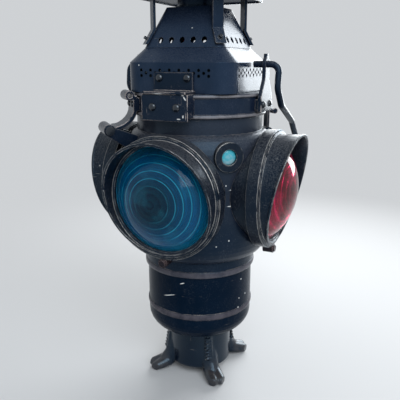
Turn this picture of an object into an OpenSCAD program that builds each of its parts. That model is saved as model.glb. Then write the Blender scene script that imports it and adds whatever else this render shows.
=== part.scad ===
// Railway switch lamp: a lens drum on a cast claw base, with a hinged ventilated lid and a carrying bail.
// Millimetres, +Z up. The origin is on the lamp's axis at the mouth of the stand socket, level with the toes.
// The blue lenses face -Y and +Y, the red ones +X and -X. The lid hinges on the -X -Y diagonal.

/* [Cast base] */
// Height of the cast base up to the oil housing
base_h = 60; // [50:1:64]
// Radius of the base column
column_r = 40.5; // [36:0.5:46]
// Level of the column's lower edge
column_low = 9; // [5:0.5:14]
// Radius of the sleeve round the stand socket
sleeve_r = 25; // [22:0.5:30]
// Diameter of the stand socket
socket_d = 34; // [24:0.5:40]
// Depth of the stand socket
socket_depth = 38; // [24:1:39]
// Reach of the toes from the lamp's axis
toe_reach = 69; // [62:1:80]
// Radius of a toe where it leaves the column
toe_root_r = 13; // [10:0.5:14]
// Radius of a toe near its tip
toe_tip_r = 8; // [6:0.5:10]
// Level of a toe's middle where it leaves the column
toe_root_z = 17; // [14:0.5:20]
// Level of a toe's middle near its tip
toe_tip_z = 5.5; // [4:0.5:7]

/* [Oil housing] */
// Outer radius of the oil housing
housing_r = 65.5; // [60:0.5:70]
// Wall of the oil housing
housing_wall = 1.6; // [1:0.1:3]
// Height of the housing's rounded bottom
bowl_h = 24; // [20:1:32]
// Level of the housing's top edge
housing_top = 158; // [150:1:162]
// Level of the lower bead
low_bead_z = 96; // [88:1:120]
// Level of the bead at the housing joint
joint_bead_z = 151; // [146:1:153]
// Height of a housing bead
bead_h = 7.5; // [4:0.5:9]
// How far a bead stands out
bead_out = 1.25; // [1:0.25:3]

/* [Lens drum] */
// Outer radius of the drum
drum_r = 88; // [86:0.5:92]
// Wall of the drum
drum_wall = 2; // [1:0.1:2.4]
// Level where the drum starts to widen above the housing joint
drum_foot_z = 166; // [162:1:170]
// Height of the drum's rounded bottom
drum_bowl_h = 36; // [28:1:44]
// Level where the shoulder starts to round in
shoulder_z = 284; // [276:1:290]
// Level of the bottom of the neck
neck_z = 314; // [306:1:318]
// Radius of the neck
neck_r = 74; // [73:0.25:75]
// Level of the neck's top edge, where the lid parts
neck_top = 331; // [326:0.5:332]
// Radius of the spigot inside the lid band
spigot_r = 71.5; // [68:0.25:72]
// Height of the spigot above the neck
spigot_h = 7; // [3:0.5:9]

/* [Lenses and hoods] */
// Level of the lens axes
lens_z = 248; // [244:1:252]
// Outer radius of a lens collar's tube
tube_r = 60; // [56:0.25:60.5]
// Wall of a lens collar's tube
tube_wall = 2; // [1.2:0.1:3]
// Radius of a lens collar's flange
flange_r = 68; // [66:0.25:70]
// Distance from the lamp's axis to the flange's back face
flange_back = 84; // [82:0.5:86]
// Distance from the lamp's axis to the flange's front face
flange_front = 97; // [95:0.5:100]
// Radius of a lens
lens_r = 62.4; // [61:0.1:63.5]
// Thickness of a lens at its rim
lens_rim = 5; // [3:0.25:6]
// How deep a lens's rim sits below the flange's face
lens_sunk = 2.6; // [1.5:0.1:4]
// Distance from the lamp's axis to the top of a lens's dome
lens_apex = 121; // [112:0.5:124]
// Thickness of the glass behind the dome
lens_t = 5.4; // [4:0.2:8]
// Radial width of a step on the inside of a lens
lens_step = 7.5; // [5:0.5:12]
// Thickness of a lens gasket
gasket_t = 1.5; // [0.8:0.1:2]
// Inner radius of a hood
hood_r = 61.5; // [60:0.25:63]
// Sheet thickness of a hood
hood_wall = 2; // [1.2:0.1:3]
// Reach of a hood's top edge from the lamp's axis
hood_top_reach = 125; // [115:0.5:135]
// Reach of a hood's bottom edge from the lamp's axis
hood_low_reach = 99.5; // [98:0.5:110]
// Thickness of the rolled rim on a hood
rim_t = 2.4; // [1.5:0.1:4]
// How far the rolled rim stands out of a hood
rim_out = 1.2; // [0.5:0.1:2]
// Diameter of the stud under each hood
stud_d = 11; // [8:0.5:13]
// Length of the stud under each hood
stud_l = 12; // [8:0.5:14]

/* [Peep sight] */
// Level of the peep sight
peep_z = 293; // [288:0.5:296]
// Outer diameter of the peep sight's ring
peep_d = 32; // [24:0.5:34]
// Diameter of the peep glass
peep_glass_d = 16.5; // [12:0.25:18]
// Wall of the tube that holds the peep glass
peep_wall = 2; // [1:0.1:3]
// Distance from the lamp's axis to the ring's face
peep_reach = 91; // [89.5:0.5:95]

/* [Lid] */
// Outer radius of the lid band
band_r = 76; // [75.5:0.25:78]
// Wall of the lid band
band_wall = 2; // [1.2:0.1:2.2]
// Height of the lid band
band_h = 25.6; // [23:0.2:30]
// Height of a bead on the lid band
band_bead_h = 4.5; // [2:0.25:5]
// How far a bead stands out of the lid band
band_bead_out = 2; // [1:0.25:3]
// Half the width of the vent box
box_half = 64; // [62:0.5:66]
// Corner radius of the vent box
box_corner = 22; // [16:0.5:26]
// Height of the vent box's upright walls
box_h = 31.8; // [29:0.2:38]
// Height of the sloping shoulder above the box
slope_h = 15; // [10:0.5:20]
// Half the width of the draft hood at its foot
hood_foot_half = 48.5; // [46:0.5:52]
// Corner radius of the draft hood at its foot
hood_foot_corner = 10.5; // [8:0.5:14]
// Half the width of the draft hood at its top
hood_top_half = 29; // [28:0.5:34]
// Corner radius of the draft hood at its top
hood_top_corner = 6; // [4:0.5:10]
// Height of the draft hood
draft_h = 43; // [36:0.5:50]
// Sheet thickness of the box, the draft hood, the chimney and the cap
sheet = 1.5; // [1:0.1:2]
// Diameter of a small vent hole
vent_d = 2.4; // [1.5:0.1:4]
// Pitch of the small vent holes
vent_pitch = 11.4; // [8:0.2:12]
// Diameter of a draft hole
draft_d = 6.2; // [4:0.2:8]
// Pitch of the draft holes
draft_pitch = 13; // [10:0.25:14]
// Outer radius of the chimney
chimney_r = 25; // [20:0.5:26]
// Height of the chimney above the draft hood
chimney_h = 9; // [5:0.5:11]

/* [Cap] */
// Half the width of the cap
cap_half = 59; // [54:0.5:64]
// Corner radius of the cap
cap_corner = 15; // [10:0.5:20]
// Clear height between the draft hood and the cap's edge
cap_gap = 9; // [6:0.5:14]
// Height of the cap
cap_h = 14; // [11:0.5:20]
// Width of a cap strap
strap_w = 12; // [8:0.5:14]
// Thickness of a cap strap
strap_t = 3; // [2:0.25:4]
// Distance of a strap from the lamp's axis
strap_r = 53; // [50:0.5:56]

/* [Lid hinge] */
// Distance of the hinge pin from the lamp's axis
hinge_r = 111; // [108:0.5:116]
// Level of the hinge pin
hinge_z = 317; // [314:0.5:322]
// Diameter of the hinge pin
pin_d = 6; // [4:0.25:8]
// Outer diameter of the hinge barrel
barrel_d = 13; // [11:0.25:16]
// Length of the hinge barrel
barrel_l = 30; // [22:0.5:36]
// Thickness of the hinge arm
arm_t = 4.5; // [3:0.25:6]
// Thickness of a hinge cheek
cheek_t = 4; // [3:0.25:6]

/* [Bail] */
// Diameter of the bail's rod
bail_d = 7.5; // [4:0.25:8]
// Level of the bail's pivots
bail_z = 387; // [380:0.5:392]
// How far the bail's cross bar hangs below its pivots
bail_drop = 125; // [110:1:140]
// How far the bail's cross bar stands off the back lens
bail_off = 5; // [4:0.5:10]
// Distance of a bail leg from the lamp's middle plane
bail_leg_x = 95; // [92:0.5:100]
// Length of the rod's end inside an ear
bail_tail = 12; // [8:0.5:14]
// Bend of the bail's rod
bail_bend = 9; // [7:0.5:9]
// Thickness of a bail ear
ear_t = 4; // [3:0.25:6]
// Half the width of a bail ear's foot
ear_foot_half = 19; // [16:0.5:24]
// Half the width of a bail ear at the pivot
ear_waist_half = 7.5; // [6:0.25:9]

/* [Front bracket] */
// Width of the bracket's upper plate
lift_w = 46; // [36:1:60]
// Width of the clasp plate
clasp_w = 54; // [44:1:62]
// Distance of the clasp plate's face from the lamp's axis
clasp_reach = 87; // [84:0.5:90]
// Thickness of the bracket's plates
plate_t = 2.5; // [1.5:0.25:3]
// Diameter of a rivet's head
rivet_d = 8.4; // [6:0.2:10]
// Diameter of a rivet's shank
shank_d = 4; // [3:0.25:5]

/* [Latch] */
// Distance of the latch pin from the lamp's axis
latch_r = 89; // [88:0.5:93]
// Level of the latch pin
latch_z = 307; // [304:0.5:309]
// Width of the latch lever
latch_w = 10; // [6:0.5:14]
// Thickness of the latch lever
latch_t = 3; // [2:0.25:4]
// Diameter of the latch pin
latch_pin_d = 4; // [3:0.25:5]

/* [Oil fount and burner] */
// Room between the oil fount and the housing's wall
fount_room = 3.9; // [2:0.1:8]
// Level of the fount's top
fount_top = 184; // [170:1:186]
// Wall of the fount
fount_wall = 1.2; // [0.8:0.1:2]
// Height of the burner
burner_h = 56; // [48:1:60]
// Diameter of the wick
wick_d = 7.6; // [5:0.2:9]
// Radius of the wick wheel
wheel_r = 4.6; // [3.5:0.1:6]
// Diameter of the wick wheel's spindle
spindle_d = 3; // [2:0.25:4]
// Diameter of the wick knob
knob_d = 14; // [10:0.5:18]

/* [Clearances] */
// Gap between pieces that are fixed to each other
seat_gap = 0.15; // [0.05:0.05:0.3]
// Gap between pieces that move past each other
part_gap = 0.4; // [0.3:0.05:0.8]
// Radial clearance of a pin in its running bore
run_gap = 0.06; // [0.02:0.01:0.1]

/* [Hidden] */
$fn = 64;
hull_fn = 32;
// Reach of a cut that goes right through, past a face, and a thin slice
far = 400;
pierce = 1;
slice = 0.01;
// How deep a bead's outline goes into its sheet
bead_root = 0.6;
// Glass left at the rim of a lens's hollow
glass_margin = 0.8;

FRONT = -90;
RIGHT = 0;
BACK = 90;
LEFT = 180;
SIDES = [FRONT, RIGHT, BACK, LEFT];
DIAGONALS = [45, 135, 225, 315];
HINGE_SIDE = 225;
LATCH_SIDE = 45;
PEEP_SIDE = -45;

BLACK = "#23262d";
IRON = "#2b2d31";
STEEL = "#8d9096";
BRASS = "#a98b4a";
BLUE = [0.05, 0.42, 0.72, 0.6];
RED = [0.80, 0.06, 0.12, 0.6];

// Levels that follow from the driving sizes
bowl_z = base_h + seat_gap;
band_z = neck_top + part_gap;
band_top = band_z + band_h;
box_z = band_top + seat_gap;
box_top = box_z + box_h;
slope_top = box_top + slope_h;
draft_z = slope_top + seat_gap;
draft_top = draft_z + draft_h;
cap_z = draft_top + cap_gap;
cap_top = cap_z + cap_h;
sleeve_in = housing_r + seat_gap;
sleeve_out = sleeve_in + drum_wall;
drum_skirt_z = joint_bead_z - bead_h / 2;
bead_r = band_r + band_bead_out;
low_band_bead_z = band_z + band_bead_h / 2;
top_band_bead_z = band_top - band_bead_h / 2;
seat_d = flange_front - lens_sunk - lens_rim - gasket_t;
lens_back = seat_d + gasket_t + seat_gap;
lens_front = lens_back + lens_rim;
lens_clear_r = tube_r - tube_wall;
dome_sag = lens_apex - lens_front;
dome_r = (pow(lens_clear_r, 2) + pow(dome_sag, 2)) / (2 * dome_sag);
lens_inner_r = lens_clear_r - glass_margin;
step_count = floor(lens_inner_r / lens_step);

// Curves of the sheet metal, as points of radius and level
function bowl(r0, r1, z0, z1, steps = 8) =
    [for (i = [0:steps]) let (t = 90 * i / steps)
        [r0 + (r1 - r0) * sin(t), z0 + (z1 - z0) * (1 - cos(t))]];
function shoulder(r0, r1, z0, z1, steps = 8) =
    [for (i = [0:steps]) let (t = 90 * i / steps)
        [r1 + (r0 - r1) * cos(t), z0 + (z1 - z0) * sin(t)]];
function backwards(points) = [for (i = [len(points) - 1:-1:0]) points[i]];
function grown(points, g) = [for (p = points) [p[0] + g, p[1]]];
function half_round(r, z, h, out) =
    concat([[r - bead_root, z - h / 2]],
        [for (t = [-90:15:90]) [r + out * cos(t), z + h / 2 * sin(t)]],
        [[r - bead_root, z + h / 2]]);
function spread(count, pitch) = [for (i = [0:count - 1]) (i - (count - 1) / 2) * pitch];
function dome(r) = lens_apex - dome_r + sqrt(pow(dome_r, 2) - pow(r, 2));

drum_outer = concat([[sleeve_out, drum_skirt_z]],
    bowl(sleeve_out, drum_r, drum_foot_z, drum_foot_z + drum_bowl_h),
    shoulder(drum_r, neck_r, shoulder_z, neck_z),
    [[neck_r, neck_top]]);
drum_inner = concat([[sleeve_in, drum_skirt_z], [sleeve_in, drum_foot_z]],
    bowl(sleeve_in, drum_r - drum_wall, drum_foot_z + drum_wall, drum_foot_z + drum_bowl_h),
    shoulder(drum_r - drum_wall, spigot_r - drum_wall, shoulder_z, neck_z - drum_wall),
    [[spigot_r - drum_wall, neck_top + spigot_h]]);

// A solid of revolution under an outline of radius and level
module turned(points) {
    rotate_extrude() polygon(concat([[0, points[0][1]]], points, [[0, points[len(points) - 1][1]]]));
}

// Turns children so that X runs along the tangent, Y up and Z outward, at a level
module facing(angle, z) {
    rotate([0, 0, angle]) translate([0, 0, z]) rotate([90, 0, 90]) children();
}

// A plate in a radial plane: X of its outline is the distance from the axis, Y the level
module radial_plate(angle, width) {
    rotate([0, 0, angle]) rotate([90, 0, 0]) linear_extrude(width, center = true) children();
}

// A rod along the tangent at a distance and level
module tangent_rod(angle, r, z, d, length) {
    rotate([0, 0, angle]) translate([r, 0, z]) rotate([90, 0, 0]) cylinder(d = d, h = length, center = true);
}

module ring(outer, inner, h) {
    difference() {
        cylinder(r = outer, h = h);
        translate([0, 0, -pierce]) cylinder(r = inner, h = h + 2 * pierce);
    }
}

module rounded_square(half, corner) {
    square([2 * (half - corner), 2 * half], center = true);
    square([2 * half, 2 * (half - corner)], center = true);
    for (x = [-1, 1], y = [-1, 1]) translate([x, y] * (half - corner)) circle(corner);
}

// A tapering rounded square between two levels, with an upright edge at its foot
module taper(half0, corner0, z0, half1, corner1, z1, edge = slice) {
    hull() {
        translate([0, 0, z0]) linear_extrude(edge) rounded_square(half0, corner0, $fn = hull_fn);
        translate([0, 0, z1 - slice]) linear_extrude(slice) rounded_square(half1, corner1, $fn = hull_fn);
    }
}

// A domed rivet along +Z: the underside of its head is at 0 and its shank goes down
rivet_dome = 0.28;

module rivet(length, d = rivet_d) {
    rise = d * rivet_dome;
    ball_r = (pow(d / 2, 2) + pow(rise, 2)) / (2 * rise);
    intersection() {
        translate([0, 0, rise - ball_r]) sphere(ball_r);
        cylinder(d = d, h = rise);
    }
    translate([0, 0, -length]) cylinder(d = shank_d, h = length + rise / 2);
}

module rivet_hole(length) {
    translate([0, 0, -length - pierce]) cylinder(d = shank_d + 2 * seat_gap, h = length + 2 * pierce);
}

// Solids that trim what sits on the drum
module drum_outside() { turned(grown(drum_outer, seat_gap)); }
module drum_inside() { turned(grown(drum_inner, -seat_gap)); }

// Cast base
base_rivet_r = (column_r + socket_d / 2) / 2;
base_rivet_d = 7;
base_rivet_l = 6;
column_edge = 2;
toe_root_x = column_r - toe_root_r;
toe_run = toe_reach - toe_tip_r - toe_root_x;
toe_drop = toe_root_z - toe_tip_z;
toe_l = norm([toe_run, toe_drop]);

module base_rivet_places() {
    for (a = SIDES) rotate([0, 0, a]) translate([base_rivet_r, 0, bowl_z + housing_wall + seat_gap])
        children();
}

// A toe: a tapering round paw that leans down from the column to its tip
module toe() {
    nose = [for (t = [0:15:90]) [toe_tip_r * cos(t), toe_l + toe_tip_r * sin(t)]];
    translate([toe_root_x, 0, toe_root_z]) rotate([0, 90 + atan2(toe_drop, toe_run), 0])
        rotate_extrude() polygon(concat([[0, 0], [toe_root_r, 0]], nose));
}

module base_casting() {
    column = [[sleeve_r, 0], [sleeve_r, column_low], [column_r - column_edge, column_low],
        [column_r, column_low + column_edge], [column_r, base_h]];
    color(IRON) difference() {
        union() {
            turned(column);
            for (a = DIAGONALS) rotate([0, 0, a]) toe();
        }
        translate([-far / 2, -far / 2, -far]) cube(far);
        translate([0, 0, -pierce]) cylinder(d = socket_d, h = socket_depth + pierce);
        base_rivet_places() rivet_hole(housing_wall + base_rivet_l);
    }
}

// Rivets that hold the oil housing to the base
module base_rivets() {
    color(STEEL) base_rivet_places() rivet(housing_wall + base_rivet_l, d = base_rivet_d);
}

// Oil housing
housing_in = housing_r - housing_wall;
bowl_top_z = bowl_z + bowl_h;

module oil_housing() {
    outer = concat(bowl(column_r, housing_r, bowl_z, bowl_top_z), [[housing_r, housing_top]]);
    inner = concat(bowl(column_r - housing_wall, housing_in, bowl_z + housing_wall, bowl_top_z),
        [[housing_in, housing_top]]);
    color(BLACK) difference() {
        rotate_extrude() {
            polygon(concat([[0, bowl_z]], outer, backwards(inner), [[0, bowl_z + housing_wall]]));
            polygon(half_round(housing_r, low_bead_z, bead_h, bead_out));
        }
        base_rivet_places() rivet_hole(housing_wall + base_rivet_l);
    }
}

// Lens drum with its neck
module drum() {
    color(BLACK) difference() {
        rotate_extrude() {
            polygon(concat(drum_outer, [[spigot_r, neck_top], [spigot_r, neck_top + spigot_h]],
                backwards(drum_inner)));
            polygon(half_round(sleeve_out, joint_bead_z, bead_h, bead_out));
        }
        for (a = SIDES) facing(a, lens_z) cylinder(r = tube_r + seat_gap, h = far);
        facing(PEEP_SIDE, peep_z) cylinder(d = peep_tube_d + 2 * seat_gap, h = far);
    }
}

// Lens collar: a tube through the drum's wall with a flange that seats the lens
module lens_collar(a) {
    color(BLACK) rotate([0, 0, a]) {
        difference() {
            facing(0, lens_z) ring(tube_r, lens_clear_r, seat_d);
            drum_inside();
        }
        difference() {
            facing(0, lens_z) difference() {
                translate([0, 0, flange_back])
                    ring(flange_r, tube_r - tube_wall / 2, flange_front - flange_back);
                translate([0, 0, seat_d]) cylinder(r = lens_r + seat_gap, h = far);
            }
            drum_outside();
        }
    }
}

module lens_gasket(a) {
    color(IRON) facing(a, lens_z) translate([0, 0, seat_d]) ring(lens_r, lens_clear_r, gasket_t);
}

// Lens: a smooth dome outside, stepped rings inside
module lens(a, tint) {
    arc_steps = 10;
    dome_points = [for (i = [0:arc_steps]) let (r = lens_clear_r * i / arc_steps) [r, dome(r)]];
    steps = [for (i = [0:step_count - 1], end = [0, 1])
        let (r = lens_inner_r - lens_step * i)
        [r - lens_step * end, max(dome(r) - lens_t, lens_back)]];
    last = lens_inner_r - lens_step * step_count;
    color(tint) facing(a, lens_z) rotate_extrude() polygon(concat(
        dome_points, [[lens_r, lens_front], [lens_r, lens_back]], steps,
        [[last, dome(last) - lens_t], [0, dome(last) - lens_t]]));
}

// Hood: a visor cut aslant, with a rolled rim and a lip that keeps the lens in
hood_foot_t = 1.2;
hood_foot_in = 1.5;
hood_lip_in = 0.5;
hood_z = flange_front + seat_gap;

module hood(a) {
    outer = hood_r + hood_wall;
    tilt = atan((hood_top_reach - hood_low_reach) / (2 * outer));
    middle = (hood_top_reach + hood_low_reach) / 2;
    color(BLACK) facing(a, lens_z) {
        difference() {
            union() {
                translate([0, 0, hood_z]) ring(outer, hood_r, hood_top_reach - flange_front);
                translate([0, 0, hood_z]) ring(flange_r - hood_foot_in, hood_r, hood_foot_t);
                intersection() {
                    translate([0, 0, hood_z]) ring(outer + rim_out, hood_r, far);
                    translate([0, 0, middle]) rotate([tilt, 0, 0]) translate([-far / 2, -far / 2, -rim_t])
                        cube([far, far, rim_t]);
                }
            }
            translate([0, 0, middle]) rotate([tilt, 0, 0]) translate([-far / 2, -far / 2, 0]) cube(far);
        }
        translate([0, 0, lens_front + seat_gap])
            ring(lens_r, lens_clear_r + hood_lip_in, hood_z + hood_foot_t - lens_front - seat_gap);
    }
}

// Studs under the flanges, which the hoods are pulled down on
stud_sunk = 0.8;
stud_tip_d = stud_d * 0.7;
stud_tip_l = 2;

module hood_studs() {
    stud_y = stud_sunk - flange_r - stud_d / 2;
    color(BLACK) for (a = SIDES) difference() {
        facing(a, lens_z) {
            translate([0, stud_y, flange_front - stud_l]) cylinder(d = stud_d, h = stud_l);
            translate([0, stud_y, flange_front]) cylinder(d = stud_tip_d, h = stud_tip_l);
        }
        facing(a, lens_z) cylinder(r = flange_r + seat_gap, h = far);
        drum_outside();
    }
}

// Peep sight
peep_tube_d = peep_glass_d + 2 * peep_wall;
peep_lip = 1.2;
peep_step = 2;
peep_recess = 1;
peep_glass_t = 4;
peep_glass_back = peep_reach - peep_recess - peep_glass_t;

module peep_ring() {
    color(BLACK) difference() {
        union() {
            difference() {
                facing(PEEP_SIDE, peep_z) translate([0, 0, drum_r / 2])
                    cylinder(d = peep_d, h = peep_reach - drum_r / 2);
                drum_outside();
            }
            difference() {
                facing(PEEP_SIDE, peep_z) cylinder(d = peep_tube_d, h = peep_reach - peep_step);
                drum_inside();
            }
        }
        facing(PEEP_SIDE, peep_z) {
            cylinder(d = peep_glass_d - 2 * peep_lip, h = far);
            translate([0, 0, peep_glass_back]) cylinder(d = peep_glass_d + 2 * seat_gap, h = far);
        }
    }
}

module peep_glass() {
    color([0.3, 0.75, 0.85, 0.7]) facing(PEEP_SIDE, peep_z)
        translate([0, 0, peep_glass_back]) cylinder(d = peep_glass_d, h = peep_glass_t);
}

// Lid hinge
arm_root = bead_r + seat_gap;
arm_margin = 2;
arm_w = barrel_l - 2 * arm_margin;
arm_grip = arm_t + bead_r - band_r + band_wall;
arm_pad_gap = 1;
hinge_rivet_d = 7;
hinge_rivet_y = arm_w * 0.3;
hinge_rivet_z = band_z + band_h / 2;
eye_d = 11;
eye_hole_d = 5;
eye_out = 3.5;
eye_neck = eye_d * 0.35;
eye_z = hinge_rivet_z + (hinge_rivet_d + eye_d) / 2 + part_gap;
// The eye stays clear of the vent box's corner
eye_chord = sqrt(max(0, pow(eye_d / 2, 2) - pow(box_z - eye_z, 2)));
box_reach = (box_half - box_corner) * sqrt(2) + box_corner;
eye_reach = max(arm_root + arm_t + eye_out, box_reach + part_gap + eye_chord);
arm_sag_z = hinge_rivet_z - hinge_rivet_d / 2 - part_gap;
cheek_in = barrel_l / 2 + part_gap;
bracket_drop = 27;
bracket_under = 6;
bracket_low = hinge_z - bracket_drop;
bracket_high = neck_z - bracket_under;
saddle_t = 3;

function sag(r0, z0, r1, z1, steps = 8) =
    [for (i = [0:steps]) let (t = 90 * i / steps)
        [r0 + (r1 - r0) * (1 - cos(t)), z0 - (z0 - z1) * sin(t)]];

module hinge_rivet_places() {
    for (y = [-1, 1]) facing(HINGE_SIDE, hinge_rivet_z)
        translate([y * hinge_rivet_y, 0, arm_root + arm_t]) children();
}

// Arm of the lid: a plate on the band, a sagging arm and the barrel at its end
module hinge_arm() {
    curve_in = sag(arm_root, arm_sag_z, hinge_r, hinge_z - arm_t / 2);
    curve_out = sag(arm_root + arm_t, arm_sag_z, hinge_r, hinge_z + arm_t / 2);
    pad_z = low_band_bead_z + band_bead_h / 2 + arm_pad_gap;
    pad_h = band_h - 2 * (band_bead_h + arm_pad_gap);
    color(BLACK) difference() {
        union() {
            radial_plate(HINGE_SIDE, arm_w) polygon(concat(curve_in, backwards(curve_out)));
            radial_plate(HINGE_SIDE, arm_w) translate([arm_root, arm_sag_z - slice])
                square([arm_t, eye_z - arm_sag_z]);
            radial_plate(HINGE_SIDE, arm_w) translate([arm_root, eye_z - eye_neck])
                square([eye_reach - arm_root, eye_neck - slice]);
            rotate([0, 0, HINGE_SIDE]) translate([band_r - band_wall, -arm_w / 2, pad_z])
                cube([arm_root + arm_t / 2 - band_r + band_wall, arm_w, pad_h]);
            tangent_rod(HINGE_SIDE, eye_reach, eye_z, eye_d, arm_w);
            tangent_rod(HINGE_SIDE, hinge_r, hinge_z, barrel_d, barrel_l);
        }
        tangent_rod(HINGE_SIDE, hinge_r, hinge_z, pin_d + 2 * run_gap, far);
        tangent_rod(HINGE_SIDE, eye_reach, eye_z, eye_hole_d, far);
        cylinder(r = band_r + seat_gap, h = 2 * far);
        hinge_rivet_places() rivet_hole(arm_grip);
    }
}

module hinge_rivets() {
    color(STEEL) hinge_rivet_places() rivet(arm_grip, d = hinge_rivet_d);
}

// Bracket on the drum's shoulder with a cheek at each end of the barrel
module hinge_bracket() {
    cheek_r = barrel_d / 2;
    cheek = [[hinge_r - cheek_r * 0.9, hinge_z + cheek_r * 0.4],
        [hinge_r + cheek_r * 0.5, hinge_z - cheek_r * 0.85],
        [drum_r - 2 * saddle_t, bracket_low], [neck_r, bracket_low], [neck_r, bracket_high]];
    saddle = [[neck_r, bracket_low], [drum_r + saddle_t, bracket_low],
        [drum_r + saddle_t / 2, bracket_high - 2 * saddle_t],
        [neck_r + 2 * saddle_t, bracket_high], [neck_r, bracket_high]];
    color(BLACK) difference() {
        union() {
            for (y = [-1, 1]) rotate([0, 0, HINGE_SIDE]) translate([0, y * (cheek_in + cheek_t / 2), 0])
                rotate([90, 0, 0]) linear_extrude(cheek_t, center = true) {
                    polygon(cheek);
                    translate([hinge_r, hinge_z]) circle(d = barrel_d);
                }
            radial_plate(HINGE_SIDE, 2 * cheek_in + cheek_t) polygon(saddle);
        }
        tangent_rod(HINGE_SIDE, hinge_r, hinge_z, pin_d + 2 * run_gap, far);
        drum_outside();
    }
}

module hinge_pin() {
    head_t = 2.5;
    head_out = 2;
    pin_l = 2 * (cheek_in + cheek_t + seat_gap);
    color(STEEL) {
        tangent_rod(HINGE_SIDE, hinge_r, hinge_z, pin_d, pin_l + head_t);
        for (y = [-1, 1]) rotate([0, 0, HINGE_SIDE])
            translate([hinge_r, y * (pin_l + head_t) / 2, hinge_z]) rotate([90, 0, 0])
                cylinder(d = pin_d + 2 * head_out, h = head_t, center = true);
    }
}

// Latch: a sprung thumb lever on the drum whose nose reaches the lid band's lower bead
latch_cheek_t = 3;
latch_pin_out = 0.5;
latch_eye_wall = 2;
latch_cheek_in = latch_w / 2 + part_gap;
latch_foot_z = latch_z - 12;
latch_foot_h = 5;
latch_foot_out = 2;
nose_h = 3;
thumb_reach = 9;
thumb_r = 3.4;

module latch_bracket() {
    eye_r = latch_pin_d / 2 + latch_eye_wall + run_gap;
    foot_r = drum_r + latch_foot_out;
    color(BLACK) difference() {
        union() {
            for (y = [-1, 1]) rotate([0, 0, LATCH_SIDE])
                translate([0, y * (latch_cheek_in + latch_cheek_t / 2), 0])
                rotate([90, 0, 0]) linear_extrude(latch_cheek_t, center = true) {
                    polygon([[neck_r, latch_z + latch_eye_wall], [latch_r, latch_z + eye_r],
                        [latch_r, latch_z - eye_r], [foot_r, latch_foot_z], [neck_r, latch_foot_z]]);
                    translate([latch_r, latch_z]) circle(eye_r);
                }
            radial_plate(LATCH_SIDE, 2 * latch_cheek_in + latch_cheek_t)
                polygon([[neck_r, latch_foot_z], [foot_r, latch_foot_z],
                    [drum_r + latch_foot_out / 4, latch_foot_z + latch_foot_h],
                    [neck_r, latch_foot_z + latch_foot_h]]);
        }
        tangent_rod(LATCH_SIDE, latch_r, latch_z, latch_pin_d + 2 * run_gap, far);
        drum_outside();
    }
}

module latch_pin() {
    color(STEEL) tangent_rod(LATCH_SIDE, latch_r, latch_z, latch_pin_d,
        2 * (latch_cheek_in + latch_cheek_t + latch_pin_out));
}

module latch_lever() {
    nose_r = bead_r + part_gap;
    stem = latch_r - latch_t / 2;
    nose_top = low_band_bead_z + nose_h / 2;
    nose_low = low_band_bead_z - nose_h / 2;
    thumb_z = low_band_bead_z - nose_h;
    thumb_x = latch_r + thumb_reach;
    color(STEEL) difference() {
        radial_plate(LATCH_SIDE, latch_w) {
            translate([latch_r, latch_z]) circle(latch_pin_d / 2 + latch_eye_wall);
            polygon([[stem, latch_z], [stem + latch_t, latch_z], [stem + latch_t, nose_top],
                [nose_r + 1, nose_top], [nose_r, low_band_bead_z], [nose_r + 1, nose_low], [stem, nose_low]]);
            polygon([[stem + latch_t / 3, nose_top], [stem + latch_t / 3, nose_low],
                [thumb_x, thumb_z - latch_t / 2], [thumb_x, thumb_z + latch_t / 2]]);
            translate([thumb_x, thumb_z]) circle(thumb_r);
        }
        tangent_rod(LATCH_SIDE, latch_r, latch_z, latch_pin_d + 2 * run_gap, far);
    }
}

// Lid band with its two beads and the ledge that carries the vent box
ear_x = bead_r + seat_gap;
ear_rivet_y = 11;
ear_rivet_d = 7.5;
ear_rivet_z = band_z + band_h / 2;
clasp_rivet_x = 14;
clasp_rivet_z = band_z + band_h / 2;
lift_rivet_x = 16.5;
lift_rivet_z = box_z + box_h * 0.5;
band_ledge_r = 61.5;

module ear_rivet_places() {
    for (a = [RIGHT, LEFT], y = [-1, 1]) facing(a, ear_rivet_z)
        translate([y * ear_rivet_y, 0, ear_x + ear_t]) children();
}

module clasp_rivet_places() {
    for (x = [-1, 1]) facing(FRONT, clasp_rivet_z) translate([x * clasp_rivet_x, 0, clasp_reach]) children();
}

module lift_rivet_places() {
    for (x = [-1, 1]) facing(FRONT, lift_rivet_z)
        translate([x * lift_rivet_x, 0, box_half + seat_gap + plate_t]) children();
}

// Shanks reach past the band's inner wall, which curves away from them
shank_past = 2;
ear_grip = ear_x + ear_t - band_r + band_wall + shank_past;
clasp_grip = clasp_reach - band_r + band_wall + shank_past;
lift_grip = plate_t + seat_gap + sheet;

module lid_band() {
    color(BLACK) difference() {
        union() {
            translate([0, 0, band_z]) ring(band_r, band_r - band_wall, band_h);
            translate([0, 0, band_top - band_wall]) ring(band_r, band_ledge_r, band_wall);
            for (z = [low_band_bead_z, top_band_bead_z])
                rotate_extrude() polygon(half_round(band_r, z, band_bead_h, bead_r - band_r));
        }
        ear_rivet_places() rivet_hole(ear_grip);
        clasp_rivet_places() rivet_hole(clasp_grip);
        hinge_rivet_places() rivet_hole(arm_grip);
    }
}

// Vent box: upright walls with rows of small holes, and a sloping shoulder
vent_rows = [[0, 8], [1, 7], [2, 8]];
vent_row_step = 2.9;
vent_top_z = box_top - 8;

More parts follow.
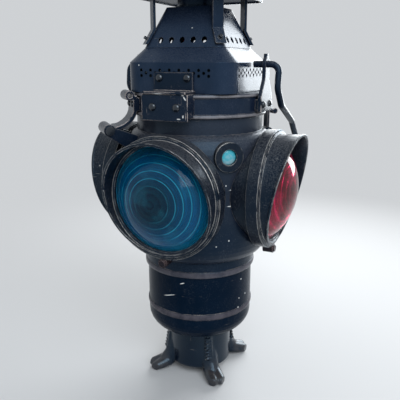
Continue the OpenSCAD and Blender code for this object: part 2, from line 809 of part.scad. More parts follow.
module vent_box() {
    inner_half = box_half - sheet;
    inner_corner = box_corner - sheet;
    color(BLACK) difference() {
        union() {
            translate([0, 0, box_z]) linear_extrude(box_h) difference() {
                rounded_square(box_half, box_corner);
                rounded_square(inner_half, inner_corner);
            }
            translate([0, 0, box_z]) linear_extrude(sheet) difference() {
                rounded_square(box_half, box_corner);
                circle(band_ledge_r);
            }
            difference() {
                taper(box_half, box_corner, box_top, hood_foot_half, hood_foot_corner, slope_top);
                taper(inner_half, inner_corner, box_top - slice,
                    hood_foot_half - sheet, hood_foot_corner - sheet, slope_top + slice);
            }
        }
        for (a = SIDES, row = vent_rows) facing(a, vent_top_z - row[0] * vent_row_step)
            for (x = spread(row[1], vent_pitch)) translate([x, 0, box_half - box_corner])
                cylinder(d = vent_d, h = box_corner + pierce);
        lift_rivet_places() rivet_hole(lift_grip);
    }
}

// Draft hood with a row of larger holes on each face
draft_holes = 5;
draft_hole_z = draft_z + 8;

module draft_hood() {
    color(BLACK) difference() {
        taper(hood_foot_half, hood_foot_corner, draft_z, hood_top_half, hood_top_corner, draft_top);
        taper(hood_foot_half - sheet, hood_foot_corner - sheet, draft_z - slice,
            hood_top_half - sheet, hood_top_corner - sheet, draft_top - sheet);
        cylinder(r = chimney_r + seat_gap, h = 2 * far);
        for (a = SIDES) facing(a, draft_hole_z)
            for (x = spread(draft_holes, draft_pitch)) translate([x, 0, hood_foot_half / 2])
                cylinder(d = draft_d, h = hood_foot_half);
    }
}

module chimney() {
    tail = 6;
    flange = 2;
    color(BLACK) {
        translate([0, 0, draft_top - tail]) ring(chimney_r, chimney_r - sheet, tail + chimney_h);
        translate([0, 0, draft_top + seat_gap]) ring(chimney_r + flange, chimney_r - sheet, sheet);
    }
}

// Cap: a shallow hipped sheet with a flat edge
cap_edge_h = 3;
cap_top_half = cap_half * 0.34;
cap_top_corner = cap_corner * 0.4;

module cap_inside(gap = 0) {
    taper(cap_half - sheet - gap, cap_corner - sheet, cap_z - slice,
        cap_top_half - sheet - gap, cap_top_corner, cap_top - sheet - gap, cap_edge_h - sheet - gap);
}

module cap() {
    color(BLACK) difference() {
        taper(cap_half, cap_corner, cap_z, cap_top_half, cap_top_corner, cap_top, cap_edge_h);
        cap_inside();
    }
}

// Cap straps: upright at the corners, with feet that lie along the draft hood's hips
hip_foot_r = (hood_foot_half - hood_foot_corner) * sqrt(2) + hood_foot_corner;
hip_top_r = (hood_top_half - hood_top_corner) * sqrt(2) + hood_top_corner;
hip_run = (hip_foot_r - hip_top_r) / draft_h;
strap_slant = sqrt(1 + pow(hip_run, 2)) * strap_t;
strap_foot_up = 4;
strap_rivet_up = 6;
strap_foot_z = draft_z + strap_foot_up;
strap_rivet_z = strap_foot_z + strap_rivet_up;
strap_rivet_d = 6;
strap_rivet_h = 1.4;
strap_knee_z = draft_z + (hip_foot_r + seat_gap - strap_r) / hip_run;

function hip_r(z) = hip_foot_r - hip_run * (z - draft_z) + seat_gap;

module cap_straps() {
    foot = [[hip_r(strap_foot_z), strap_foot_z], [hip_r(strap_foot_z) + strap_slant, strap_foot_z],
        [strap_r + strap_t, strap_knee_z + (strap_slant - strap_t) / hip_run], [strap_r + strap_t, cap_top],
        [strap_r, cap_top], [strap_r, strap_knee_z]];
    color(BLACK) intersection() {
        for (a = DIAGONALS) radial_plate(a, strap_w) polygon(foot);
        union() {
            translate([-far / 2, -far / 2, 0]) cube([far, far, cap_z]);
            cap_inside(seat_gap);
        }
    }
}

module strap_rivets() {
    ball_r = (pow(strap_rivet_d / 2, 2) + pow(strap_rivet_h, 2)) / (2 * strap_rivet_h);
    color(STEEL) for (a = DIAGONALS) rotate([0, 0, a])
        translate([hip_r(strap_rivet_z) + strap_slant + slice, 0, strap_rivet_z])
        rotate([0, atan(1 / hip_run), 0]) intersection() {
            translate([0, 0, strap_rivet_h - ball_r]) sphere(ball_r);
            cylinder(d = strap_rivet_d, h = strap_rivet_h);
        }
}

// Bail ears on the lid band
ear_foot_in = 5;
ear_pad_h = 12;
ear_pad_in = 2;
ear_neck_up = 14;
ear_neck_z = band_top + ear_neck_up;
finger_half = [3.5, 2.5];
finger_h = [7, 11];

module bail_ear(a) {
    half = [[ear_foot_half, band_z + ear_foot_in], [ear_foot_half, band_top - ear_foot_in + 1],
        [ear_waist_half, ear_neck_z], [ear_waist_half - 1, bail_z],
        [finger_half[0], bail_z + finger_h[0]], [finger_half[1], bail_z + finger_h[1]]];
    outline = concat(half, [for (p = backwards(half)) [-p[0], p[1]]]);
    pad_back = band_r - 2 * band_wall;
    color(BLACK) difference() {
        facing(a, 0) {
            translate([0, 0, ear_x]) linear_extrude(ear_t) {
                polygon(outline);
                translate([0, bail_z]) circle(ear_waist_half);
            }
            translate([ear_pad_in - ear_foot_half, ear_rivet_z - ear_pad_h / 2, pad_back])
                cube([2 * (ear_foot_half - ear_pad_in), ear_pad_h, ear_x + ear_t / 2 - pad_back]);
        }
        facing(a, bail_z) cylinder(d = bail_d + 2 * run_gap, h = far);
        cylinder(r = band_r + seat_gap, h = 2 * far);
        ear_rivet_places() rivet_hole(ear_grip);
    }
}

module ear_rivets() {
    color(STEEL) ear_rivet_places() rivet(ear_grip, d = ear_rivet_d);
}

// Carrying bail, lowered behind the lamp: swan-necked legs and a cross bar
bail_bar_y = max(lens_apex + bail_off, hood_top_reach + 1);
// Bends of a leg, as shares of the cross bar's reach and drop
bail_bends = [[-0.024, 0.2], [0.111, 0.36], [0.492, 0.536], [0.698, 0.728], [1, 1]];
bail_sides = 16;
bail_sleeve = 0.15;
bail_overlap = 4;

module bail() {
    pivot_l = bail_leg_x - bail_bend - ear_x + bail_tail;
    half = rounded_route(concat([[bail_leg_x - bail_bend - bail_overlap, 0, bail_z], [bail_leg_x, 0, bail_z]],
        [for (p = bail_bends) [bail_leg_x, p[0] * bail_bar_y, bail_z - p[1] * bail_drop]],
        [[0, bail_bar_y, bail_z - bail_drop]]), bail_bend);
    other = [for (p = backwards(half)) if (p[0] > 0) [-p[0], p[1], p[2]]];
    color(BLACK) {
        swept(concat(half, other), bail_d - bail_sleeve, bail_sides);
        for (a = [RIGHT, LEFT]) facing(a, bail_z) translate([0, 0, ear_x - bail_tail])
            cylinder(d = bail_d, h = pivot_l);
    }
}

function unit(v) = v / norm(v);
function turn(a, b, c) = acos(unit(b - a) * unit(c - b));
function bend_points(a, b, c, bend, steps = 4) =
    let (way = unit(b - a), next = unit(c - b), inward = unit(next - (next * way) * way),
        centre = b - way * bend * tan(turn(a, b, c) / 2) + inward * bend)
    [for (i = [0:steps]) let (t = turn(a, b, c) * i / steps)
        centre + bend * (sin(t) * way - cos(t) * inward)];
function rounded_route(points, bend) =
    concat([points[0]],
        [for (i = [1:len(points) - 2]) each bend_points(points[i - 1], points[i], points[i + 1], bend)],
        [points[len(points) - 1]]);

// A round rod swept along points
module swept(points, d, sides) {
    last = len(points) - 1;
    lean = [0.6, 0.7, 0.4];
    corners = [for (i = [0:last])
        let (way = unit(points[min(i + 1, last)] - points[max(i - 1, 0)]),
            across = unit(cross(way, lean)), up = cross(way, across))
        for (k = [0:sides - 1]) let (t = -360 * k / sides)
            points[i] + d / 2 * (cos(t) * across + sin(t) * up)];
    walls = [for (i = [0:last - 1], k = [0:sides - 1])
        let (a = i * sides + k, b = i * sides + (k + 1) % sides)
        each [[a, b, b + sides], [a, b + sides, a + sides]]];
    ends = [for (k = [1:sides - 2])
        each [[0, k + 1, k], [last * sides, last * sides + k, last * sides + k + 1]]];
    polyhedron(corners, concat(walls, ends));
}

// Front bracket: an upper plate with a shelf, and the clasp plate below it
shelf_z = band_top + 0.6;
shelf_side = 2;
shelf_lip = 1.5;
lift_top = box_top - 10;
clasp_low = band_z - 1.4;
clasp_cheek_z = clasp_low + 3;
bead_room = 0.3;

module lift_bracket() {
    y = -box_half - seat_gap;
    color(BLACK) difference() {
        union() {
            translate([-lift_w / 2, y - plate_t, shelf_z]) cube([lift_w, plate_t, lift_top - shelf_z]);
            translate([-lift_w / 2 - shelf_side, -clasp_reach - shelf_lip, shelf_z])
                cube([lift_w + 2 * shelf_side, clasp_reach + shelf_lip + y, plate_t]);
        }
        lift_rivet_places() rivet_hole(lift_grip);
    }
}

module clasp_plate() {
    back = clasp_reach - plate_t / 2;
    depth = back - band_r / 2;
    high = shelf_z - seat_gap;
    color(BLACK) difference() {
        union() {
            translate([-clasp_w / 2, -clasp_reach, clasp_low]) cube([clasp_w, plate_t, high - clasp_low]);
            for (x = [-clasp_w / 2, clasp_w / 2 - plate_t])
                translate([x, -back, clasp_cheek_z]) cube([plate_t, depth, high - clasp_cheek_z]);
            for (x = [-1, 1]) translate([x * clasp_rivet_x, -back, clasp_rivet_z]) rotate([-90, 0, 0])
                cylinder(d = rivet_d, h = depth);
        }
        cylinder(r = band_r + seat_gap, h = 2 * far);
        for (z = [low_band_bead_z, top_band_bead_z]) translate([0, 0, z - band_bead_h / 2 - bead_room])
            cylinder(r = bead_r + seat_gap, h = band_bead_h + 2 * bead_room);
        clasp_rivet_places() rivet_hole(clasp_grip);
    }
}

module bracket_rivets() {
    color(STEEL) {
        lift_rivet_places() rivet(lift_grip);
        clasp_rivet_places() rivet(clasp_grip);
    }
}

// Oil fount: it rests in the housing's rounded bottom
fount_r = housing_in - fount_room;
fount_seat_r = fount_r + 0.5;
bowl_in_r = column_r - housing_wall;
fount_turn = asin((fount_seat_r - bowl_in_r) / (housing_in - bowl_in_r));
fount_z = bowl_z + housing_wall + (bowl_h - housing_wall) * (1 - cos(fount_turn)) + seat_gap;
filler_x = -36;
filler_d = 22;
filler_h = 8;
filler_hole_d = 17;
plug_l = 5;
burner_neck_r = 17;
burner_hole_r = 14;
wheel_z = fount_top + 24;
wheel_x = wick_d / 2 + part_gap / 2 + wheel_r;

module oil_fount() {
    inside_z = fount_z + fount_wall;
    color(BRASS) difference() {
        translate([0, 0, fount_z]) cylinder(r = fount_r, h = fount_top - fount_z);
        translate([0, 0, inside_z]) cylinder(r = fount_r - fount_wall, h = fount_top - fount_wall - inside_z);
        translate([0, 0, inside_z + pierce]) cylinder(r = burner_hole_r, h = fount_top);
        translate([filler_x, 0, inside_z + pierce]) cylinder(d = filler_hole_d, h = fount_top);
    }
}

module filler_cap() {
    color(BRASS) translate([filler_x, 0, 0]) {
        translate([0, 0, fount_top + seat_gap]) cylinder(d = filler_d, h = filler_h);
        translate([0, 0, fount_top - plug_l])
            cylinder(d = filler_hole_d - 2 * seat_gap, h = plug_l + filler_h / 2);
    }
}

// Burner: a turned collar and cone with the wick tube, and a slot for the wick wheel
burner_flange = [21, 8];
burner_waist_h = 10;
burner_cone_z = 30;
burner_cone_top = 43;
burner_tube_wall = 1.4;

module burner() {
    z = fount_top + seat_gap;
    bore = wick_d + 2 * part_gap;
    tube_out = bore / 2 + burner_tube_wall;
    slot = wheel_r + part_gap;
    color(BRASS) difference() {
        union() {
            turned([[burner_flange[0], z], [burner_flange[0], z + burner_flange[1]],
                [burner_neck_r, z + burner_waist_h], [burner_neck_r, z + burner_cone_z],
                [tube_out, z + burner_cone_top], [tube_out, fount_top + burner_h]]);
            translate([0, 0, fount_top - plug_l])
                cylinder(r = burner_hole_r - seat_gap, h = plug_l + burner_flange[1] / 2);
        }
        cylinder(d = bore, h = far);
        translate([0, wheel_r / 2 - slot, wheel_z - slot])
            cube([wheel_x + slot, 2 * slot - wheel_r, 2 * slot]);
        translate([wheel_x, 0, wheel_z]) rotate([90, 0, 0]) cylinder(d = spindle_d + 2 * run_gap, h = far);
    }
}

wick_z = fount_z + 20;
wick_out = 4;

module wick() {
    color("ivory") translate([0, 0, wick_z])
        cylinder(d = wick_d, h = fount_top + burner_h + wick_out - wick_z);
}

// Wick wheel on its spindle, with the knob outside the burner
knob_t = 4;
knob_gap = 1;

module wick_wheel() {
    color(BRASS) translate([wheel_x, 0, wheel_z]) rotate([90, 0, 0]) {
        cylinder(r = wheel_r, h = wheel_r, center = true);
        cylinder(d = spindle_d, h = burner_neck_r + knob_gap + knob_t / 2);
        translate([0, 0, burner_neck_r + knob_gap]) cylinder(d = knob_d, h = knob_t);
    }
}

base_casting();
base_rivets();
oil_housing();
drum();
lens_collar(FRONT);  // lens_collar_front
lens_collar(RIGHT);  // lens_collar_right
lens_collar(BACK);  // lens_collar_back
lens_collar(LEFT);  // lens_collar_left
lens_gasket(FRONT);  // lens_gasket_front
lens_gasket(RIGHT);  // lens_gasket_right
lens_gasket(BACK);  // lens_gasket_back
lens_gasket(LEFT);  // lens_gasket_left
lens(FRONT, BLUE);  // lens_front
lens(RIGHT, RED);  // lens_right
lens(BACK, BLUE);  // lens_back
lens(LEFT, RED);  // lens_left
hood(FRONT);  // hood_front
hood(RIGHT);  // hood_right
hood(BACK);  // hood_back
hood(LEFT);  // hood_left
hood_studs();
peep_ring();
peep_glass();
hinge_bracket();
hinge_pin();
hinge_arm();
hinge_rivets();
latch_bracket();
latch_pin();
latch_lever();
lid_band();
vent_box();
draft_hood();
chimney();
cap();
cap_straps();
strap_rivets();
bail_ear(RIGHT);  // bail_ear_right
bail_ear(LEFT);  // bail_ear_left
ear_rivets();
bail();
lift_bracket();
clasp_plate();
bracket_rivets();
oil_fount();
filler_cap();
burner();
wick();
wick_wheel();
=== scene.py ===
import math
import bmesh
import bpy
import numpy as np
from mathutils import Matrix, Vector


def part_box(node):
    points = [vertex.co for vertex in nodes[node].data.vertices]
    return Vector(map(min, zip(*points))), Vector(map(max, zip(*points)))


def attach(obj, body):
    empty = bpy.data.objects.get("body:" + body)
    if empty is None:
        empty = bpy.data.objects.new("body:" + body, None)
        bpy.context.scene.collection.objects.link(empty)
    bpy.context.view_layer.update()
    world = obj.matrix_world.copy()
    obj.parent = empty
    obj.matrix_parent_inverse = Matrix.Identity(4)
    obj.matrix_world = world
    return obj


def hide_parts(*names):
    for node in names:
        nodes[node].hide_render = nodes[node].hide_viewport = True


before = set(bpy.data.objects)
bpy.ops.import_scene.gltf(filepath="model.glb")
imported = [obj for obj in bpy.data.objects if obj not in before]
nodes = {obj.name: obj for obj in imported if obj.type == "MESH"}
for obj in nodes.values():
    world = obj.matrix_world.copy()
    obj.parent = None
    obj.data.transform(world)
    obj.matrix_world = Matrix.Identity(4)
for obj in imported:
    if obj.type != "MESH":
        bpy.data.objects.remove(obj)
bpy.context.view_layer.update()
mm = 0.001
lensLevel = 248 * mm  # height of the lens axes
mergeGap = 1e-7  # points nearer than this become one
print("frame loaded,", len(nodes), "nodes")


# Shader maths on sockets
class Wire:
    def __init__(self, socket):
        self.socket = socket
        self.tree = socket.id_data

    def make(self, kind, settings=None, sockets=None, out=0):
        node = self.tree.nodes.new(kind)
        for key, value in (settings or {}).items():
            setattr(node, key, value)
        for key, value in (sockets or {}).items():
            if isinstance(value, Wire):
                self.tree.links.new(value.socket, node.inputs[key])
            else:
                node.inputs[key].default_value = value
        return Wire(node.outputs[out])

    def maths(self, operation, *values):
        return self.make("ShaderNodeMath", {"operation": operation}, dict(enumerate(values)))

    def vector(self, operation, *values, out=0):
        return self.make("ShaderNodeVectorMath", {"operation": operation}, dict(enumerate(values)), out)

    def __add__(self, other):
        return self.maths("ADD", self, other)

    def __radd__(self, other):
        return self.maths("ADD", other, self)

    def __sub__(self, other):
        return self.maths("SUBTRACT", self, other)

    def __rsub__(self, other):
        return self.maths("SUBTRACT", other, self)

    def __mul__(self, other):
        return self.maths("MULTIPLY", self, other)

    def __rmul__(self, other):
        return self.maths("MULTIPLY", other, self)

    def length(self):
        return self.vector("LENGTH", self, out="Value")

    def axis(self, letter):  # one coordinate of a vector
        return self.make("ShaderNodeSeparateXYZ", None, {"Vector": self}, letter)

    def rise(self, low, high):  # smooth step from 0 to 1
        return self.make("ShaderNodeMapRange", {"interpolation_type": "SMOOTHSTEP"},
                         {"Value": self, "From Min": low, "From Max": high})

    def blend(self, first, second):  # colours mixed by this value
        return self.make("ShaderNodeMix", {"data_type": "RGBA"},
                         {0: self, 6: colourOf(first), 7: colourOf(second)}, 2)

    def noise(self, scale, detail=3.0, rough=0.5, stretch=None):
        place = self
        if stretch:
            place = self.make("ShaderNodeMapping", None,
                              {"Vector": self, "Scale": stretch[0], "Rotation": stretch[1]})
        return self.make("ShaderNodeTexNoise", None,
                         {"Vector": place, "Scale": scale, "Detail": detail, "Roughness": rough})

    def bump(self, strength, deep, **more):  # this value as a height
        return self.make("ShaderNodeBump", None, {"Height": self, "Strength": strength, "Distance": deep, **more})


def colourOf(value):
    return value if isinstance(value, Wire) else (*value, 1)


def newMaterial(name):
    material = bpy.data.materials.new(name)
    material.use_nodes = True
    shader = material.node_tree.nodes["Principled BSDF"]
    coords = material.node_tree.nodes.new("ShaderNodeTexCoord")
    return material, shader, Wire(coords.outputs["Object"])


def feed(shader, values):
    for key, value in values.items():
        if isinstance(value, Wire):
            shader.id_data.links.new(value.socket, shader.inputs[key])
        else:
            shader.inputs[key].default_value = value


# Paint over sheet metal: clouded blue-black, dust on what faces up, bare metal along edges, scratches and chips
sheetPaint = {
    "dark": (0.0018, 0.0070, 0.0185), "light": (0.0085, 0.0130, 0.0255), "roughness": 0.24, "bump": 0.14,
    "gloss": 0.24, "tint": (0.45, 0.74, 1.0, 1),
    "dust": (0.20, 0.20, 0.205), "dustShare": 0.34, "stipple": 0.17,
    "metal": (0.36, 0.32, 0.29), "edgeRadius": 1.1 * mm, "edgeGain": 2.4, "wearTop": None,
    "chip": (0.78, 0.78, 0.76), "chips": 0.991, "scratch": 0.72, "marks": (),
    "bands": (), "bandDustAndSheen": (0.13, 0.115, 0.130), "bandShare": 0.68,
    "toes": None, "paintedSheen": None, "soot": None,
}

# Scratches and specks at listed places: centre and half sizes in mm, tilt
housingMarks = [((7.7, -65, 139.2), (3.6, 3, 0.7), -0.33), ((-10, -64.3, 120.6), (10.3, 4, 0.6), -0.30),
                ((63.2, -17.3, 136), (1, 1, 1), 0), ((65.1, -7, 113.2), (1.1, 1.1, 1.1), 0),
                ((62.3, -20.3, 111.9), (0.9, 0.9, 0.9), 0), ((61.8, -21.8, 100.3), (1.1, 1.1, 1), 0),
                ((65.4, -2.9, 145.1), (0.9, 0.9, 0.9), 0)]
drumMarks = [((60.6, -63.8, 262.1), (0.9, 0.9, 0.9), 0), ((63.8, -60.6, 199.4), (1, 1, 1), 0),
             ((65.5, -58.6, 257), (3.2, 4, 0.6), 0), ((65.5, -58.6, 239), (6.6, 8, 0.6), 0)]
plateMarks = [((23.7, -87, 353.7), (2.9, 3, 0.9), 0.9), ((21.8, -87, 335.5), (0.8, 3, 2.1), 0.1),
              ((16.6, -87, 332.9), (2.5, 3, 0.7), 0), ((21.5, -87, 357), (1.5, 3, 1.1), 0),
              ((-6, -87, 358), (8, 3, 0.6), 0)]

# Darker and bluer than the sheet paint: partly a bluer paint and partly painted shade on the lower body
housingPaint = dict(
    sheetPaint, dark=(0.0004, 0.0055, 0.0165), light=(0.0025, 0.0085, 0.0215), gloss=0.08, marks=housingMarks,
    bands=((96, 3.2), (151, 3.2)))  # the two beads: level and half width in mm
drumPaint = dict(
    sheetPaint, dark=(0.0018, 0.0075, 0.0200), light=(0.0080, 0.0130, 0.0260), marks=drumMarks, bands=((151, 3.2),),
    paintedSheen=(0.031, 0.037, 0.052), paintedSheenFrom=180 * mm, paintedSheenTo=292 * mm)  # greyer to the top: a painted sheen where the shoulder catches the light
# Lighter and bluer than the sheet paint: partly a bluer paint and partly a painted sheen from above; its bead bands are
# partly painted sheen too
lidPaint = dict(
    sheetPaint, dark=(0.0052, 0.0112, 0.0270), light=(0.0150, 0.0220, 0.0405), bandDustAndSheen=(0.40, 0.37, 0.37),
    bands=((333.7, 1.5), (354.7, 1.2)), bandShare=0.55)
ventHoles = {"top": 380.95 * mm, "rowStep": 2.9 * mm, "pitch": 11.4 * mm, "ring": 1.75 * mm, "soft": 0.35 * mm,
             "spans": (42 * mm, 37 * mm, 42 * mm)}  # rows of holes, each half a pitch off the one above
# Lighter than the lid paint: a painted sheen on the vent box faces
ventPaint = dict(
    lidPaint, dark=(0.0085, 0.0180, 0.0400), light=(0.0215, 0.0330, 0.0590), edgeGain=0.7, bands=(), dustShare=0.10,
    stipple=0.05, soot=ventHoles)
castPaint = dict(
    sheetPaint, dark=(0.0004, 0.0050, 0.0150), light=(0.0030, 0.0075, 0.0180), edgeRadius=2.0 * mm, edgeGain=2.0,
    metal=(0.42, 0.38, 0.34), roughness=0.12, bump=0.35, dustShare=0.05, stipple=0.02, gloss=0.46,
    tint=(0.60, 0.82, 1.0, 1), toes=(0.048, 0.044, 0.045))
hoodPaint = dict(
    sheetPaint, dark=(0.0035, 0.0080, 0.0175), light=(0.0140, 0.0165, 0.0235), edgeRadius=1.4 * mm, edgeGain=6.0,
    metal=(0.56, 0.54, 0.51), stipple=0.40)
wornPaint = dict(
    lidPaint, dark=(0.0030, 0.0080, 0.0195), light=(0.0110, 0.0165, 0.0320), edgeRadius=1.9 * mm, edgeGain=6.5,
    metal=(0.62, 0.54, 0.50), chips=0.98, scratch=0.67, marks=plateMarks, bands=(),
    wearTop=360 * mm)  # hands reach the plates below this level
studPaint = dict(sheetPaint, dark=(0.009, 0.0055, 0.0065), light=(0.036, 0.020, 0.022), metal=(0.27, 0.19, 0.18))
# The pale dust on the rivet tops is partly a painted highlight
rivetPaint = dict(
    lidPaint, dark=(0.0015, 0.0035, 0.0080), light=(0.0045, 0.0065, 0.0110), edgeRadius=0.5 * mm, edgeGain=1.5,
    roughness=0.06, dust=(0.46, 0.46, 0.47), dustShare=0.06, stipple=0.02, gloss=0.80, tint=(0.85, 0.93, 1.0, 1),
    bands=())

# How all the paints wear: noises are scale, detail and roughness, spans are where an effect starts and is full
paintWear = {
    "cloud": (22, 4, 0.6), "patch": (95, 5, 0.65), "grain": (780, 3, 0.65), "cloudSpan": (0.3, 0.75),
    "edgeSamples": 4, "rubPatch": (0.34, 0.62), "rubSpan": (0.12, 0.5), "rubFade": 2 * mm, "rubLoss": 0.8,
    "alongScratch": ((55, 55, 1500), (0.06, 0.04, 0)), "slantScratch": ((1400, 90, 60), (0.2, 0.8, 0.55)),
    "scratchNoise": (1, 2), "scratchSoft": 0.05, "scratchArea": (34, 2), "scratchSpan": (0.54, 0.66),
    "scratchShare": 0.8,
    "chipCells": 210, "chipRagged": 0.3, "chipSpan": (0.22, 0.34), "chipSoft": 0.004,
    "markRagged": 0.8, "markSpan": (1.0, 1.4),
    "dustUp": (0.05, 0.95), "dustGrain": (0.40, 0.66), "stippleGrain": (0.54, 0.70), "stipplePatch": (0.40, 0.66),
    "paintedSheenCloud": 0.5, "paintedSheenLeast": 0.45,
    "ledge": (0.6, 0.9), "bandSoft": 0.7, "bandSpan": (0.25, 0.65), "bandPatch": 0.6, "bandLeast": 0.4,
    "toeReach": (43 * mm, 54 * mm), "toePatch": (0.25, 0.60),
    "sootAndShadeShare": 0.97, "sootAndShadeColour": (0.0005, 0.0006, 0.0008),
    "roughCloud": 0.14, "roughGrain": 0.10, "roughBare": 0.12, "roughLess": 0.10, "metallic": 0.7,
    "reliefPatch": 0.6, "reliefGrain": 0.25, "reliefBare": 0.3, "reliefDeep": 0.8 * mm,
}


def markedAt(place, marks, ragged):
    whole = 0.0
    for centre, sizes, tilt in marks:
        near = place.make("ShaderNodeMapping", {"vector_type": "TEXTURE"},
                          {"Vector": place, "Location": [v * mm for v in centre], "Rotation": (0, tilt, 0),
                           "Scale": [v * mm for v in sizes]})
        mark = 1 - (near.length() + ragged).rise(*paintWear["markSpan"])
        whole = mark.maths("MAXIMUM", mark, whole)
    return whole


# Soot and painted shade: dark discs at the vent holes, where the holes go into shade
def sootAndShadeAt(place, holes):
    x, y, z = (place.axis(letter) for letter in "XYZ")
    wide, deep = (way.maths("ABSOLUTE", way) for way in (x, y))
    side = wide.maths("GREATER_THAN", wide, deep)
    across = x * (1 - side) + y * side
    reach = wide * (1 - side) + deep * side
    whole = 0.0
    for row, span in enumerate(holes["spans"]):
        share = across * (1 / holes["pitch"]) + 0.5 * (row % 2)
        off = (share.maths("FRACT", share) - 0.5) * holes["pitch"]
        drop = z - (holes["top"] - row * holes["rowStep"])
        far = off * off + drop * drop
        ring = 1 - far.maths("SQRT", far).rise(holes["ring"] - holes["soft"], holes["ring"] + holes["soft"])
        ring = ring * (1 - reach.rise(span, span + mm))
        whole = ring.maths("MAXIMUM", ring, whole)
    return whole


def paintMaterial(name, look):
    material, shader, place = newMaterial(name)
    wear = paintWear
    rounded = place.make("ShaderNodeBevel", {"samples": wear["edgeSamples"]}, {"Radius": look["edgeRadius"]})
    flat = place.make("ShaderNodeNewGeometry", None, None, "Normal")
    lean = place.vector("DOT_PRODUCT", rounded, flat, out="Value")
    own = place.make("ShaderNodeVectorTransform",
                     {"vector_type": "NORMAL", "convert_from": "WORLD", "convert_to": "OBJECT"}, {"Vector": flat})
    up = own.axis("Z")
    height = place.axis("Z")
    cloud, patch, grain = (place.noise(*wear[kind]) for kind in ("cloud", "patch", "grain"))
    rubbed = ((1 - lean) * look["edgeGain"] * patch.rise(*wear["rubPatch"])).rise(*wear["rubSpan"])
    if look["wearTop"]:
        above = height.rise(look["wearTop"], look["wearTop"] + wear["rubFade"])
        rubbed = rubbed * (1 - above * wear["rubLoss"])
    thin = (look["scratch"], look["scratch"] + wear["scratchSoft"])
    along, slant = (place.noise(*wear["scratchNoise"], stretch=wear[way]).rise(*thin)
                    for way in ("alongScratch", "slantScratch"))
    scratched = (along + slant) * place.noise(*wear["scratchArea"]).rise(*wear["scratchSpan"])
    cells = {"Vector": place, "Scale": wear["chipCells"], "Randomness": 1.0}
    speck = place.make("ShaderNodeTexVoronoi", None, cells)
    draw = place.make("ShaderNodeSeparateColor", None,
                      {"Color": place.make("ShaderNodeTexVoronoi", None, cells, "Color")})
    chipped = ((1 - (speck + patch * wear["chipRagged"]).rise(*wear["chipSpan"]))
               * draw.rise(look["chips"], look["chips"] + wear["chipSoft"]))
    if look["marks"]:
        chipped = chipped.maths("MAXIMUM", chipped, markedAt(place, look["marks"], grain * wear["markRagged"]))
    settled = up.rise(*wear["dustUp"]) * grain.rise(*wear["dustGrain"]) * look["dustShare"]
    stipple = grain.rise(*wear["stippleGrain"]) * patch.rise(*wear["stipplePatch"]) * look["stipple"]
    bare = rubbed.maths("MINIMUM", rubbed + scratched * wear["scratchShare"], 1)
    colour = cloud.rise(*wear["cloudSpan"]).blend(look["dark"], look["light"])
    # painted sheen: the paint is greyed towards the top, where the drum catches the light
    if look["paintedSheen"]:
        paintedSheenShare = height.rise(look["paintedSheenFrom"], look["paintedSheenTo"]) * (cloud * wear["paintedSheenCloud"] + wear["paintedSheenLeast"])
        colour = paintedSheenShare.blend(colour, look["paintedSheen"])
    colour = (settled + stipple).blend(colour, look["dust"])
    upright = 1 - (up * up).rise(*wear["ledge"])
    for level, half in look["bands"]:  # the beads are rubbed and dusty, and partly a painted sheen where their tops catch the light; not the ledges at their level
        off = height - level * mm
        near = 1 - off.maths("ABSOLUTE", off).rise((half - wear["bandSoft"]) * mm, (half + wear["bandSoft"]) * mm)
        beadDustAndSheen = near * (patch.rise(*wear["bandSpan"]) * wear["bandPatch"] + wear["bandLeast"])
        colour = (beadDustAndSheen * upright * look["bandShare"]).blend(colour, look["bandDustAndSheen"])
    if look["toes"]:  # the paws are worn to grey metal
        reach = place.vector("MULTIPLY", place, (1, 1, 0)).length()
        colour = (reach.rise(*wear["toeReach"]) * patch.rise(*wear["toePatch"])).blend(colour, look["toes"])
    colour = bare.blend(colour, look["metal"])
    colour = chipped.blend(colour, look["chip"])
    rough = (cloud * wear["roughCloud"] + grain * wear["roughGrain"] + (settled + bare * wear["roughBare"])
             + (look["roughness"] - wear["roughLess"]))
    # soot and painted shade at the vent holes
    if look["soot"]:
        soot = sootAndShadeAt(place, look["soot"]) * wear["sootAndShadeShare"]
        colour = soot.blend(colour, wear["sootAndShadeColour"])
        rough = rough.maths("MINIMUM", rough + soot, 1)
    relief = patch * wear["reliefPatch"] + grain * wear["reliefGrain"] - bare * wear["reliefBare"]
    feed(shader, {
        "Base Color": colour,
        "Roughness": rough,
        "Metallic": bare * wear["metallic"],
        "Normal": relief.bump(look["bump"], wear["reliefDeep"], Normal=rounded),
        "Specular IOR Level": look["gloss"],
        "Specular Tint": look["tint"],
    })
    return material


# Cast signal glass: tinted through, slightly smeared and dusty on the face
# In the ringed lenses dark is the painted shade at the centre and thin the colour of the painted light on steps, rim
# and glow
blueGlass = {"dark": (0.0, 0.018, 0.055), "deep": (0.0, 0.145, 0.37), "thin": (0.06, 0.72, 1.0), "rough": 0.012,
             "index": 1.30, "clear": 0.66, "gloss": 0.12, "across": (1, 0, 1), "glow": 0.10}
redGlass = dict(blueGlass, dark=(0.16, 0.0, 0.010), deep=(0.32, 0.0, 0.020), thin=(1.0, 0.03, 0.17),
                across=(0, 1, 1), clear=0.84, gloss=0.5, index=1.40, glow=0.60)
peepGlass = {"dark": (0.02, 0.36, 0.50), "deep": (0.04, 0.55, 0.68), "thin": (0.60, 0.70, 0.74), "rough": 0.05,
             "index": 1.40, "clear": 0.30, "gloss": 0.5}
glassFace = {"smear": (70, 4, 0.6), "toneSpan": (0.45, 0.75), "coreSpan": (0.25, 0.5), "speck": (1300, 2),
             "speckSpan": (0.66, 0.74), "roughSpan": (0.45, 0.8), "roughSmear": 0.05, "roughSpeck": 0.15,
             "bump": 0.012, "bumpDeep": 0.5 * mm}
glassRings = {"outer": 57.2 * mm, "step": 7.5 * mm, "shift": 0.02, "core": (12 * mm, 50 * mm),
              "lineSpan": (0.05, 0.16), "lineReach": (13 * mm, 26 * mm), "paintedRimLightReach": (48 * mm, 58 * mm),
              "lit": (26, 2), "litSpan": (0.36, 0.62), "litMore": 0.75, "litLeast": 0.25,
              "glow": (34, 2), "glowSpan": (0.48, 0.60),
              "smearShare": 0.05, "treadShare": 0.06, "lineShare": 0.85, "paintedRimLightShare": 0.26}
